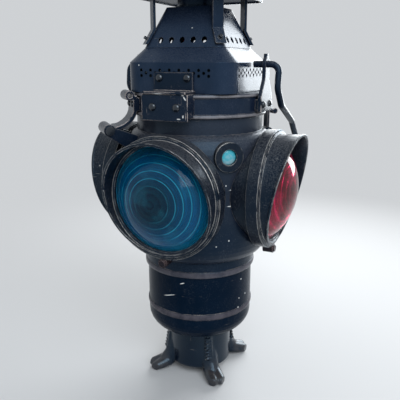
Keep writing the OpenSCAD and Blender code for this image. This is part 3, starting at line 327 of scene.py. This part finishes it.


# Each moulded ring is painted with shade from its riser to its tread; the steps get painted glints, the rim a painted
# bright edge, patches a painted glow from behind, and the centre a painted dark core
def ringPaintedLight(place, smear, look):
    rings = glassRings
    radius = place.vector("MULTIPLY", place.vector("SUBTRACT", place, (0, 0, lensLevel)), look["across"]).length()
    steps = (rings["outer"] - radius) * (1 / rings["step"]) + rings["shift"]
    tread = steps.maths("FRACT", steps)
    lit = place.noise(*rings["lit"]).rise(*rings["litSpan"]) * rings["litMore"] + rings["litLeast"]
    line = (1 - tread.rise(*rings["lineSpan"])) * radius.rise(*rings["lineReach"])
    tone = (smear * rings["smearShare"] + tread * rings["treadShare"]
            + line * lit * rings["lineShare"]  # painted glints where light catches the steps in places
            # painted bright rim, where light collects in the glass's edge
            + radius.rise(*rings["paintedRimLightReach"]) * rings["paintedRimLightShare"]
            + place.noise(*rings["glow"]).rise(*rings["glowSpan"]) * look["glow"])  # and painted glow, as if light came from behind in patches
    return tone, radius.rise(*rings["core"])


def glassMaterial(name, look):
    material, shader, place = newMaterial(name)
    face = glassFace
    smear = place.noise(*face["smear"])
    speck = place.noise(*face["speck"]).rise(*face["speckSpan"])
    if "across" in look:
        tone, core = ringPaintedLight(place, smear, look)
    else:
        tone, core = smear.rise(*face["toneSpan"]), smear.rise(*face["coreSpan"])
    # ringed lenses: painted dark core and painted light over the glass tint
    feed(shader, {
        "Base Color": tone.blend(core.blend(look["dark"], look["deep"]), look["thin"]),
        "Roughness": smear.rise(*face["roughSpan"]) * face["roughSmear"] + look["rough"] + speck * face["roughSpeck"],
        "Transmission Weight": look["clear"],
        "IOR": look["index"],
        "Specular IOR Level": look["gloss"],
        "Normal": smear.bump(face["bump"], face["bumpDeep"]),
    })
    return material


# Brass gone brown
oldBrass = {"clean": (0.62, 0.43, 0.17), "brown": (0.16, 0.10, 0.045), "tarnish": (60, 5, 0.65),
            "tarnishSpan": (0.36, 0.66), "grain": (700, 2), "rough": 0.22, "roughTarnish": 0.3, "roughGrain": 0.12,
            "bump": 0.15, "bumpDeep": 0.3 * mm}


def brassMaterial(name, look):
    material, shader, place = newMaterial(name)
    tarnish = place.noise(*look["tarnish"])
    grain = place.noise(*look["grain"])
    feed(shader, {
        "Base Color": tarnish.rise(*look["tarnishSpan"]).blend(look["clean"], look["brown"]),
        "Roughness": tarnish * look["roughTarnish"] + grain * look["roughGrain"] + look["rough"],
        "Metallic": 1.0,
        "Normal": grain.bump(look["bump"], look["bumpDeep"]),
    })
    return material


# The plain dark rubber of the gaskets
gasketRubber = {"dark": (0.010, 0.010, 0.011), "light": (0.035, 0.034, 0.033), "grain": (500, 3),
                "grainSpan": (0.3, 0.7), "rough": 0.65, "roughGrain": 0.2, "bump": 0.3, "bumpDeep": 0.3 * mm}


def rubberMaterial(name, look):
    material, shader, place = newMaterial(name)
    grain = place.noise(*look["grain"])
    feed(shader, {
        "Base Color": grain.rise(*look["grainSpan"]).blend(look["dark"], look["light"]),
        "Roughness": grain * look["roughGrain"] + look["rough"],
        "Normal": grain.bump(look["bump"], look["bumpDeep"]),
    })
    return material


# Woven cotton, sooty at the burnt end
wickCotton = {"clean": (0.72, 0.66, 0.54), "shade": 0.7, "soot": (0.035, 0.030, 0.028), "top": 244 * mm,
              "burntLow": 8 * mm, "burntHigh": 3 * mm, "ragged": (400, 2), "raggedRise": 6 * mm, "fuzz": (1200, 3),
              "rough": 0.85, "roughFuzz": 0.1, "bump": 0.5, "bumpDeep": 0.3 * mm}


def wickMaterial(name, look):
    material, shader, place = newMaterial(name)
    fuzz = place.noise(*look["fuzz"])
    level = place.axis("Z") + place.noise(*look["ragged"]) * look["raggedRise"]
    burnt = level.rise(look["top"] - look["burntLow"], look["top"] + look["burntHigh"])
    cotton = fuzz.blend(tuple(look["shade"] * c for c in look["clean"]), look["clean"])
    feed(shader, {
        "Base Color": burnt.blend(cotton, look["soot"]),
        "Roughness": fuzz * look["roughFuzz"] + look["rough"],
        "Normal": fuzz.bump(look["bump"], look["bumpDeep"]),
    })
    return material


finishes = {
    "sheet": paintMaterial("sheetPaint", sheetPaint),
    "lid": paintMaterial("lidPaint", lidPaint),
    "vent": paintMaterial("ventPaint", ventPaint),
    "housing": paintMaterial("housingPaint", housingPaint),
    "drum": paintMaterial("drumPaint", drumPaint),
    "hood": paintMaterial("hoodPaint", hoodPaint),
    "cast": paintMaterial("castPaint", castPaint),
    "worn": paintMaterial("bracketPaint", wornPaint),
    "rivet": paintMaterial("rivetPaint", rivetPaint),
    "stud": paintMaterial("studPaint", studPaint),
    "blue": glassMaterial("blueLensGlass", blueGlass),
    "red": glassMaterial("redLensGlass", redGlass),
    "peep": glassMaterial("peepGlass", peepGlass),
    "brass": brassMaterial("burnerBrass", oldBrass),
    "rubber": rubberMaterial("gasketRubber", gasketRubber),
    "wick": wickMaterial("wickCotton", wickCotton),
}
print("finishes made:", len(finishes))

# Which node wears which finish; the rest go by the starts and ends of their names
finishNodes = {
    "drum": ["drum"], "housing": ["oil_housing"], "stud": ["hood_studs"], "cast": ["base_casting"],
    "hood": ["peep_ring"], "vent": ["vent_box", "draft_hood"], "lid": ["lid_band", "chimney", "cap", "cap_straps"],
    "worn": ["lift_bracket", "clasp_plate", "hinge_arm", "latch_lever", "bail", "bail_ear_right", "bail_ear_left"],
    "blue": ["lens_front", "lens_back"], "red": ["lens_right", "lens_left"], "peep": ["peep_glass"],
    "brass": ["oil_fount", "filler_cap", "burner", "wick_wheel"], "wick": ["wick"],
}


def finishOf(node):
    for finish, named in finishNodes.items():
        if node in named:
            return finish
    if node.startswith(("lens_collar", "hood")):
        return "hood"
    if node.startswith("lens_gasket"):
        return "rubber"
    if node.endswith(("rivets", "pin")):
        return "rivet"
    return "sheet"


for name, node in nodes.items():
    material = finishes[finishOf(name)]
    if not node.material_slots:
        node.data.materials.append(material)
    for slot in node.material_slots:
        slot.material = material
print("nodes dressed")


# Helpers for new pieces
def placeObject(name, data):
    placed = bpy.data.objects.new(name, data)
    bpy.context.scene.collection.objects.link(placed)
    return placed


def addPiece(name, mesh, finish, body, replaced):
    piece = placeObject(name, mesh)
    if finish:
        mesh.materials.clear()
        mesh.materials.append(finishes[finish])
    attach(piece, body)
    for node in replaced:
        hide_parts(node)


def evaluatedMesh(holder):
    return bpy.data.meshes.new_from_object(holder.evaluated_get(bpy.context.evaluated_depsgraph_get()))


def finishMesh(name, mesh, sharpAngle):
    bmesh.ops.remove_doubles(mesh, verts=mesh.verts, dist=mergeGap)
    bmesh.ops.recalc_face_normals(mesh, faces=mesh.faces)
    made = bpy.data.meshes.new(name)
    mesh.to_mesh(made)
    mesh.free()
    made.shade_smooth()
    made.set_sharp_from_angle(angle=math.radians(sharpAngle))
    return made


# Directions of the four sides
sides = {"front": -90, "right": 0, "back": 90, "left": 180}


def sidePoint(angle, level, across, rise, reach):
    out = Vector((math.cos(math.radians(angle)), math.sin(math.radians(angle)), 0))
    beside = Vector((0, 0, 1)).cross(out)
    return out * reach + beside * across + Vector((0, 0, level + rise))


# A ring of profiles round a lens axis; points of no radius meet in one
def sweptRound(angle, level, profileAt, steps, closed):
    mesh = bmesh.new()
    rings = []
    for step in range(steps):
        turn = 2 * math.pi * step / steps
        rings.append([mesh.verts.new(sidePoint(angle, level, r * math.cos(turn), r * math.sin(turn), d))
                      for r, d in profileAt(turn)])
    count = len(rings[0])
    for step in range(steps):
        here, there = rings[step], rings[(step + 1) % steps]
        for i in range(count if closed else count - 1):
            k = (i + 1) % count
            mesh.faces.new([here[i], there[i], there[k], here[k]])
    bmesh.ops.remove_doubles(mesh, verts=mesh.verts, dist=mergeGap)
    return mesh


# Lenses: a smooth dome outside, stepped rings inside
lens = {"clearR": 58.0, "rimR": 62.4, "apex": 121.0, "front": 94.55, "back": 89.55, "domeR": 76.8, "thick": 5.4,
        "edge": 0.4, "innerR": 57.2, "rings": 7, "ringStep": 7.5, "ringLean": 1.6,
        "ringShares": (0, 0.25, 0.5, 0.75, 1), "domeSteps": 40, "turnSteps": 144, "sharp": 28}


def domeAt(r):
    return lens["apex"] - lens["domeR"] + math.sqrt(lens["domeR"] ** 2 - r ** 2)


def lensProfile():
    edge = lens["edge"]
    radii = [lens["clearR"] * i / lens["domeSteps"] for i in range(lens["domeSteps"] + 1)]
    profile = [(r, domeAt(r)) for r in radii]
    profile += [(lens["rimR"] - edge, lens["front"]), (lens["rimR"], lens["front"] - edge),
                (lens["rimR"], lens["back"] + edge), (lens["rimR"] - edge, lens["back"])]
    for ring in range(lens["rings"]):
        outer = lens["innerR"] - lens["ringStep"] * ring
        inner = outer - lens["ringStep"]
        foot = max(domeAt(outer) - lens["thick"], lens["back"])
        for share in lens["ringShares"]:  # each ring is a shallow curved step
            profile.append((outer + (inner - outer) * share, foot + lens["ringLean"] * math.sin(share * math.pi / 2)))
    last = lens["innerR"] - lens["ringStep"] * lens["rings"]
    profile += [(last, domeAt(last) - lens["thick"]), (0, domeAt(last) - lens["thick"])]
    return [(r * mm, d * mm) for r, d in profile]


lensSection = lensProfile()
for side in sides:
    tint = "blue" if side in ("front", "back") else "red"
    mesh = sweptRound(sides[side], lensLevel, lambda turn: lensSection, lens["turnSteps"], False)
    addPiece("lensGlass_" + side, finishMesh("lensGlass_" + side, mesh, lens["sharp"]), tint, "body",
             ["lens_" + side])
print("lenses made")


# Peep sight: a small glass with a domed face
peep = {"angle": -45.0, "level": 293.0, "radius": 8.2, "back": 86.0, "edge": 88.4, "apex": 89.95, "round": 0.3,
        "domeSteps": 14, "turnSteps": 64, "sharp": 40}


def peepProfile():
    dome = peep["apex"] - peep["edge"]
    shares = [i / peep["domeSteps"] for i in range(peep["domeSteps"] + 1)]
    profile = [((peep["radius"] - peep["round"]) * k, peep["apex"] - dome * k * k) for k in shares]
    profile += [(peep["radius"], peep["edge"] - peep["round"]), (peep["radius"], peep["back"] + peep["round"]),
                (peep["radius"] - peep["round"], peep["back"]), (0, peep["back"])]
    return [(r * mm, d * mm) for r, d in profile]


peepSection = peepProfile()
mesh = sweptRound(peep["angle"], peep["level"] * mm, lambda turn: peepSection, peep["turnSteps"], False)
addPiece("peepLens", finishMesh("peepLens", mesh, peep["sharp"]), "peep", "body", ["peep_glass"])
print("peep sight made")


# Hoods: thin sheet with a rolled rim, cut aslant, on a foot ring
hood = {"innerR": 61.5, "wall": 2.0, "topReach": 125.0, "lowReach": 99.5, "footZ": 97.15, "footT": 1.2, "footR": 66.5,
        "lipR": 58.5, "lipZ": 94.75, "lensR": 62.4, "chamfer": 0.3, "cornerIn": 0.2, "cornerUp": 0.1, "wallFoot": 1.2,
        "fillet": ((0.35, 0.16), (1.1, 0)), "lowest": 0.2, "rimOut": 0.9, "rimEnd": 3.3,
        "innerRim": ((0.5, 0), (0.15, 0.1), (0, 0.35)),  # back from the mouth, outwards
        "outerRim": ((0, 0.35), (0.15, 0.1), (0.5, 0), (1.7, 0), (2.2, 0.15), (2.6, 0.8), (3.2, 0.9)),  # back, inwards
        "seamTurn": 97.0, "seamWidth": 2.2, "seamHeight": 0.35, "turnSteps": 180, "sharp": 50}


def hoodProfile(turn):
    inner, chamfer = hood["innerR"], hood["chamfer"]
    outer = inner + hood["wall"]
    edge = outer + hood["rimOut"]
    middle = (hood["topReach"] + hood["lowReach"]) / 2
    slope = (hood["topReach"] - hood["lowReach"]) / (2 * outer)
    footTop = hood["footZ"] + hood["footT"]
    low = footTop + hood["lowest"]
    off = math.degrees(turn) - hood["seamTurn"]
    seam = hood["seamHeight"] * math.exp(-(off / hood["seamWidth"]) ** 2)  # lapped seam near the top

    def mouth(r, back):
        return max(middle + slope * r * math.sin(turn) - back, low)

    profile = [(hood["lipR"], hood["lipZ"]), (hood["lipR"], footTop - chamfer), (hood["lipR"] + chamfer, footTop),
               (inner - hood["cornerIn"], footTop), (inner, footTop + hood["cornerUp"])]
    profile += [(inner + out, mouth(inner, back)) for back, out in hood["innerRim"]]
    profile += [(edge - inset + seam, mouth(edge, back)) for back, inset in hood["outerRim"]]
    profile.append((outer + seam, min(footTop + hood["wallFoot"], mouth(edge, hood["rimEnd"]))))
    profile += [(outer + out, footTop + rise) for out, rise in hood["fillet"]]
    profile += [(hood["footR"] - chamfer, footTop), (hood["footR"], footTop - chamfer), (hood["footR"], hood["footZ"]),
                (hood["lensR"], hood["footZ"]), (hood["lensR"], hood["lipZ"])]
    return [(r * mm, d * mm) for r, d in profile]


for side in sides:
    mesh = sweptRound(sides[side], lensLevel, hoodProfile, hood["turnSteps"], True)
    addPiece("hoodSheet_" + side, finishMesh("hoodSheet_" + side, mesh, hood["sharp"]), "hood", "body",
             ["hood_" + side])
print("hoods made")


# Bail: one bent rod; its bends are shares of the reach to the back and of the drop
bail = {"rod": 7.3, "pivotZ": 387.0, "drop": 125.0, "legX": 95.0, "barY": 126.0, "tipX": 66.4, "bend": 9.0,
        "bends": [(-0.024, 0.2), (0.111, 0.36), (0.492, 0.536), (0.698, 0.728), (1.0, 1.0)], "bendSteps": 10,
        "roundness": 5, "sharp": 60}


def bailRoute():
    points = [Vector((bail["tipX"], 0, bail["pivotZ"])), Vector((bail["legX"], 0, bail["pivotZ"]))]
    points += [Vector((bail["legX"], y * bail["barY"], bail["pivotZ"] - z * bail["drop"])) for y, z in bail["bends"]]
    points.append(Vector((0, bail["barY"], bail["pivotZ"] - bail["drop"])))
    route = [points[0]]
    for a, b, c in zip(points, points[1:], points[2:]):
        way, onward = (b - a).normalized(), (c - b).normalized()
        turn = way.angle(onward)
        inward = (onward - onward.dot(way) * way).normalized()
        centre = b - way * bail["bend"] * math.tan(turn / 2) + inward * bail["bend"]
        for i in range(bail["bendSteps"] + 1):
            t = turn * i / bail["bendSteps"]
            route.append(centre + bail["bend"] * (math.sin(t) * way - math.cos(t) * inward))
    route.append(points[-1])
    return [p * mm for p in route + [Vector((-p.x, p.y, p.z)) for p in reversed(route[:-1])]]


def rodMesh(name, route):
    curve = bpy.data.curves.new(name, "CURVE")
    curve.dimensions = "3D"
    curve.bevel_depth = bail["rod"] / 2 * mm
    curve.bevel_resolution = bail["roundness"]
    curve.use_fill_caps = True
    spline = curve.splines.new("POLY")
    spline.points.add(len(route) - 1)
    for point, place in zip(spline.points, route):
        point.co = (*place, 1)
    holder = placeObject(name, curve)
    mesh = bmesh.new()
    mesh.from_mesh(evaluatedMesh(holder))
    bpy.data.objects.remove(holder)
    bpy.data.curves.remove(curve)
    return finishMesh(name, mesh, bail["sharp"])


addPiece("bailRod", rodMesh("bailRod", bailRoute()), "worn", "bail", ["bail"])
print("bail made")


# Wick: two sets of strands wound both ways round a core
wick = {"strands": 9, "turns": 9.6, "riseSteps": 90, "roundSteps": 72, "depth": 0.35, "sharp": 80}


def wickMesh():
    low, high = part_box("wick")
    middle = (low + high) / 2
    radius = (high.x - low.x) / 2
    mesh = bmesh.new()
    rows = []
    for i in range(wick["riseSteps"] + 1):
        share = i / wick["riseSteps"]
        wound = wick["turns"] * 2 * math.pi * share
        row = []
        for k in range(wick["roundSteps"]):
            turn = 2 * math.pi * k / wick["roundSteps"]
            strand = max(math.cos(wick["strands"] * turn + wound), math.cos(wick["strands"] * turn - wound))
            r = radius - wick["depth"] * mm * (1 - strand)
            row.append(mesh.verts.new((middle.x + r * math.cos(turn), middle.y + r * math.sin(turn),
                                       low.z + (high.z - low.z) * share)))
        rows.append(row)
    for here, there in zip(rows, rows[1:]):
        for k in range(wick["roundSteps"]):
            n = (k + 1) % wick["roundSteps"]
            mesh.faces.new([here[k], here[n], there[n], there[k]])
    mesh.faces.new(rows[0][::-1])
    mesh.faces.new(rows[-1])
    return finishMesh("wickWeave", mesh, wick["sharp"])


addPiece("wickWeave", wickMesh(), "wick", "wick", ["wick"])
print("wick made")


# Rivets: each CAD rivet is found by its own island, and a turned dome head takes its place
rivet = {"Dome share": 0.66, "Under share": 0.05, "Shank share": 0.30, "segments": 24, "rings": 16, "shankSides": 16,
         "shankDeep": 0.6, "seatShare": 0.97, "cadGap": 1e-6, "sharp": 50}  # shares of the head's width
rivetInputs = ("Dome share", "Under share", "Shank share")


def rivetIslands(node):
    mesh = bmesh.new()
    mesh.from_mesh(nodes[node].data)
    bmesh.ops.remove_doubles(mesh, verts=mesh.verts, dist=rivet["cadGap"])
    seen = set()
    for start in mesh.verts:
        if start in seen:
            continue
        island, queue = [], [start]
        seen.add(start)
        while queue:
            vert = queue.pop()
            island.append(tuple(vert.co))
            for edge in vert.link_edges:
                other = edge.other_vert(vert)
                if other not in seen:
                    seen.add(other)
                    queue.append(other)
        yield np.array(island)
    mesh.free()


def rivetPlace(points):
    middle = points.mean(0)
    spread, ways = np.linalg.eigh(np.cov((points - middle).T))
    odd = 0 if spread[1] - spread[0] > spread[2] - spread[1] else 2  # the axis is the way unlike the other two
    axis = ways[:, odd]
    along = (points - middle) @ axis
    radial = np.linalg.norm(points - middle - np.outer(along, axis), axis=1)
    seat = along[radial > rivet["seatShare"] * radial.max()].mean()
    if along.max() - seat > seat - along.min():  # the shank is the longer end
        axis, seat = -axis, -seat
    return middle + axis * seat, axis, 2 * radial.max()


def rivetTree(material):
    tree = bpy.data.node_groups.new("rivetHeads", "GeometryNodeTree")
    tree.interface.new_socket("Geometry", in_out="INPUT", socket_type="NodeSocketGeometry")
    for label in rivetInputs:
        tree.interface.new_socket(label, in_out="INPUT", socket_type="NodeSocketFloat")
    tree.interface.new_socket("Geometry", in_out="OUTPUT", socket_type="NodeSocketGeometry")
    given = tree.nodes.new("NodeGroupInput").outputs
    shape = Wire(given["Geometry"])
    ball = shape.make("GeometryNodeMeshUVSphere", None,
                      {"Segments": rivet["segments"], "Rings": rivet["rings"], "Radius": 0.5})
    spot = shape.make("GeometryNodeInputPosition")
    height = spot.axis("Z")
    level = (height.maths("MAXIMUM", height, 0) * Wire(given["Dome share"])
             + height.maths("MINIMUM", height, 0) * Wire(given["Under share"]))
    domed = shape.make("ShaderNodeCombineXYZ", None, {"X": spot.axis("X"), "Y": spot.axis("Y"), "Z": level})
    head = shape.make("GeometryNodeSetPosition", None, {"Geometry": ball, "Position": domed})
    shank = shape.make("GeometryNodeMeshCylinder", None, {
        "Vertices": rivet["shankSides"], "Radius": Wire(given["Shank share"]), "Depth": rivet["shankDeep"]})
    shank = shape.make("GeometryNodeTransform", None,
                       {"Geometry": shank, "Translation": (0, 0, -rivet["shankDeep"] / 2)})
    whole = shape.make("GeometryNodeJoinGeometry", None, {"Geometry": head})
    tree.links.new(shank.socket, whole.socket.node.inputs[0])
    facing = shape.make("GeometryNodeInputNamedAttribute", {"data_type": "FLOAT_VECTOR"}, {"Name": "facing"})
    width = shape.make("GeometryNodeInputNamedAttribute", {"data_type": "FLOAT"}, {"Name": "headWidth"})
    turned = shape.make("FunctionNodeAlignRotationToVector", {"axis": "Z"}, {"Vector": facing})
    placed = shape.make("GeometryNodeInstanceOnPoints", None,
                        {"Points": shape, "Instance": whole, "Rotation": turned, "Scale": width})
    real = shape.make("GeometryNodeRealizeInstances", None, {"Geometry": placed})
    smooth = shape.make("GeometryNodeSetShadeSmooth", None, {"Geometry": real})
    painted = shape.make("GeometryNodeSetMaterial", None, {"Geometry": smooth, "Material": material})
    result = tree.nodes.new("NodeGroupOutput")
    tree.links.new(painted.socket, result.inputs["Geometry"])
    return tree


def setRivets(name, body, replaced, tree):
    places = [rivetPlace(points) for node in replaced for points in rivetIslands(node)]
    seats, axes, widths = zip(*places)
    mesh = bpy.data.meshes.new(name + "Points")
    mesh.from_pydata([tuple(seat) for seat in seats], [], [])
    mesh.attributes.new("facing", "FLOAT_VECTOR", "POINT").data.foreach_set(
        "vector", np.array(axes, np.float32).ravel())
    mesh.attributes.new("headWidth", "FLOAT", "POINT").data.foreach_set("value", np.array(widths, np.float32))
    holder = placeObject(name + "Points", mesh)
    modifier = holder.modifiers.new("heads", "NODES")
    modifier.node_group = tree
    for item in tree.interface.items_tree:
        if item.name in rivetInputs:
            modifier[item.identifier] = rivet[item.name]
    made = evaluatedMesh(holder)
    made.name = name
    bpy.data.objects.remove(holder)
    made.set_sharp_from_angle(angle=math.radians(rivet["sharp"]))
    addPiece(name, made, None, body, replaced)
    return len(places)


heads = rivetTree(finishes["rivet"])
count = setRivets("lidRivets", "lid", ["hinge_rivets", "strap_rivets", "ear_rivets", "bracket_rivets"], heads)
count += setRivets("baseRivets", "body", ["base_rivets"], heads)
print("rivets set:", count)


# Base: a column on four paws, blended as a casting, with a toothed crest down each leg
base = {"columnR": 40.3, "columnLow": 9.0, "columnTop": 60.0, "chamfer": 3.0, "sleeveR": 25.0, "boreR": 17.0,
        "boreDepth": 38.0, "roundSteps": 96, "corners": (45, 135, 225, 315),
        "leg": [(31, 57, 8), (32, 46, 8.5), (33, 35, 9.5), (35, 25, 10.5), (39.5, 16, 10.5), (46, 10.5, 9.2)],
        "lobe": [(45, 9.6, 9.8), (50, 8.2, 9.2), (55, 7.0, 8.4), (61.6, 5.8, 7.2)],  # reach, level and radius
        "lobeApart": (2.4, 4.9), "lobeNarrow": 0.9, "lobeFlat": 0.80,
        "crest": [(39.8, 57, 2.0), (40.4, 46, 2.5), (41.2, 36, 2.9), (43.2, 27.5, 2.9), (47, 20.5, 2.5),
                  (52, 15.2, 2.1)],
        "crestNarrow": 0.8, "teeth": 7, "toothR": 1.5, "toothLong": 4.8, "toothTop": (41.9, 53), "toothLow": (45.6, 27),
        "toothAside": -5.0, "toothCurve": 1.4, "toothTip": -0.5,
        "ballGap": 1.6, "ballDetail": 3, "voxel": 0.95, "smooth": 2, "smoothShare": 0.5}


def addBall(mesh, centre, sizes, turn, tip=0.0):
    place = (Matrix.Rotation(turn, 4, "Z") @ Matrix.Translation(Vector(centre) * mm) @ Matrix.Rotation(tip, 4, "Y")
             @ Matrix.Diagonal((*(size * mm for size in sizes), 1)))
    bmesh.ops.create_icosphere(mesh, subdivisions=base["ballDetail"], radius=1, matrix=place)


# A row of balls along a bent line
def addChain(mesh, points, turn, narrow=1.0, aside=(0, 0), flat=1.0):
    for (r0, z0, s0), (r1, z1, s1) in zip(points, points[1:]):
        steps = max(2, int(math.hypot(r1 - r0, z1 - z0) / base["ballGap"]))
        for i in range(steps):
            t = i / steps
            size = s0 + (s1 - s0) * t
            r = r0 + (r1 - r0) * t
            share = (r - points[0][0]) / (points[-1][0] - points[0][0])
            addBall(mesh, (r, aside[0] + (aside[1] - aside[0]) * share, z0 + (z1 - z0) * t),
                    (size, size * narrow, size * flat), turn)
    r, z, size = points[-1]
    addBall(mesh, (r, aside[1], z), (size, size * narrow, size * flat), turn)


def addColumn(mesh):
    column = [(base["boreR"], 0.0), (base["sleeveR"], 0.0), (base["sleeveR"], base["columnLow"]),
              (base["columnR"] - base["chamfer"], base["columnLow"]),
              (base["columnR"], base["columnLow"] + base["chamfer"]), (base["columnR"], base["columnTop"]),
              (0, base["columnTop"]), (0, base["boreDepth"]), (base["boreR"], base["boreDepth"])]
    turns = [2 * math.pi * k / base["roundSteps"] for k in range(base["roundSteps"])]
    rings = [[mesh.verts.new((r * mm * math.cos(turn), r * mm * math.sin(turn), z * mm)) for r, z in column]
             for turn in turns]
    for here, there in zip(rings, rings[1:] + rings[:1]):
        for i in range(len(column)):
            n = (i + 1) % len(column)
            if column[i][0] or column[n][0]:
                mesh.faces.new([here[i], there[i], there[n], here[n]])
    bmesh.ops.remove_doubles(mesh, verts=mesh.verts, dist=mergeGap)
    bmesh.ops.recalc_face_normals(mesh, faces=mesh.faces)


def addLeg(mesh, turn):
    addChain(mesh, base["leg"], turn)
    addChain(mesh, base["crest"], turn, base["crestNarrow"])
    for way in (-1, 1):  # the paw ends in two lobes
        addChain(mesh, base["lobe"], turn, base["lobeNarrow"], [way * a for a in base["lobeApart"]], base["lobeFlat"])
    top, low = base["toothTop"], base["toothLow"]
    for i in range(base["teeth"]):  # teeth beside the crest
        share = i / (base["teeth"] - 1)
        reach = top[0] + (low[0] - top[0]) * share ** base["toothCurve"]
        addBall(mesh, (reach, base["toothAside"], top[1] + (low[1] - top[1]) * share),
                (base["toothR"], base["toothLong"], base["toothR"]), turn, base["toothTip"])


def baseMesh():
    mesh = bmesh.new()
    addColumn(mesh)
    for corner in base["corners"]:
        addLeg(mesh, math.radians(corner))
    form = bpy.data.meshes.new("baseForm")
    mesh.to_mesh(form)
    mesh.free()
    holder = placeObject("baseForm", form)
    remesh = holder.modifiers.new("casting", "REMESH")
    remesh.mode = "VOXEL"
    remesh.voxel_size = base["voxel"] * mm
    soften = holder.modifiers.new("soften", "SMOOTH")
    soften.iterations = base["smooth"]
    soften.factor = base["smoothShare"]
    cast = evaluatedMesh(holder)
    bpy.data.objects.remove(holder)
    low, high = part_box("base_casting")
    for vert in cast.vertices:  # nothing stands out of the casting's own box
        vert.co = [min(max(v, a), b) for v, a, b in zip(vert.co, low, high)]
    cast.name = "baseCasting"
    cast.shade_smooth()
    return cast


addPiece("baseCasting", baseMesh(), "cast", "body", ["base_casting"])
print("base cast")


# Camera, light and floor
photoView = {"lens": 45, "sensor": 36, "place": (0.254, -0.544, 0.390), "down": 15.5, "turn": 25}
camera = bpy.data.cameras.new("photoView")
camera.lens = photoView["lens"]
camera.sensor_width = photoView["sensor"]
cameraObject = placeObject("photoView", camera)
cameraObject.location = photoView["place"]
cameraObject.rotation_euler = (math.radians(90 - photoView["down"]), 0, math.radians(photoView["turn"]))
bpy.context.scene.camera = cameraObject

studio = {
    "window": {"place": (0.10, 1.5, 0.72), "wide": 1.8, "high": 1.1, "power": 42, "colour": (0.95, 0.98, 1.0)},
    "fill": {"place": (0.95, -1.0, 1.35), "wide": 1.4, "high": 1.4, "power": 24, "colour": (0.86, 0.93, 1.0)},
    "aim": (0, 0, 0.24), "worldLight": 0.36, "worldShown": 0.66, "air": (0.94, 0.97, 1.0, 1),
    "floor": (0.60, 0.60, 0.60), "floorDim": 0.97, "floorNoise": (3, 2), "floorRough": 0.7, "floorR": 6.0,
    "floorSides": 96, "fade": (0.26, 1.0),
}
for name in ("window", "fill"):
    light = bpy.data.lights.new(name, "AREA")
    light.shape = "RECTANGLE"
    light.size = studio[name]["wide"]
    light.size_y = studio[name]["high"]
    light.energy = studio[name]["power"]
    light.color = studio[name]["colour"]
    lamp = placeObject(name, light)
    lamp.location = studio[name]["place"]
    lamp.rotation_euler = (Vector(studio["aim"]) - lamp.location).to_track_quat("-Z", "Y").to_euler()
    lamp.visible_camera = False


def shownRay(tree):
    path = tree.nodes.new("ShaderNodeLightPath").outputs
    ray = Wire(path["Is Camera Ray"])
    ray = ray.maths("MAXIMUM", ray, Wire(path["Is Glossy Ray"]))
    return ray.maths("MAXIMUM", ray, Wire(path["Is Transmission Ray"]))


world = bpy.data.worlds.new("paleRoom")
world.use_nodes = True
bpy.context.scene.world = world
more = studio["worldShown"] - studio["worldLight"]
feed(world.node_tree.nodes["Background"],
     {"Color": studio["air"], "Strength": shownRay(world.node_tree) * more + studio["worldLight"]})

floorMesh = bmesh.new()
bmesh.ops.create_circle(floorMesh, cap_ends=True, segments=studio["floorSides"], radius=studio["floorR"])
floorData = bpy.data.meshes.new("floor")
floorMesh.to_mesh(floorData)
floorMesh.free()
floor = placeObject("floor", floorData)
floorMaterial, floorShader, floorPlace = newMaterial("paleFloor")
dimmer = tuple(studio["floorDim"] * c for c in studio["floor"])
feed(floorShader, {"Base Color": floorPlace.noise(*studio["floorNoise"]).blend(studio["floor"], dimmer),
                   "Roughness": studio["floorRough"]})
haze = floorPlace.make("ShaderNodeEmission", None, {"Color": studio["air"], "Strength": studio["worldShown"]})
away = floorPlace.length().rise(*studio["fade"]) * shownRay(floorMaterial.node_tree)
mixed = floorPlace.make("ShaderNodeMixShader", None,  # the floor runs into the background
                        {0: away, 1: Wire(floorShader.outputs[0]), 2: haze})
feed(floorMaterial.node_tree.nodes["Material Output"], {"Surface": mixed})
floorData.materials.append(floorMaterial)
bpy.context.scene.view_settings.view_transform = "Standard"
print("camera, light and floor set")
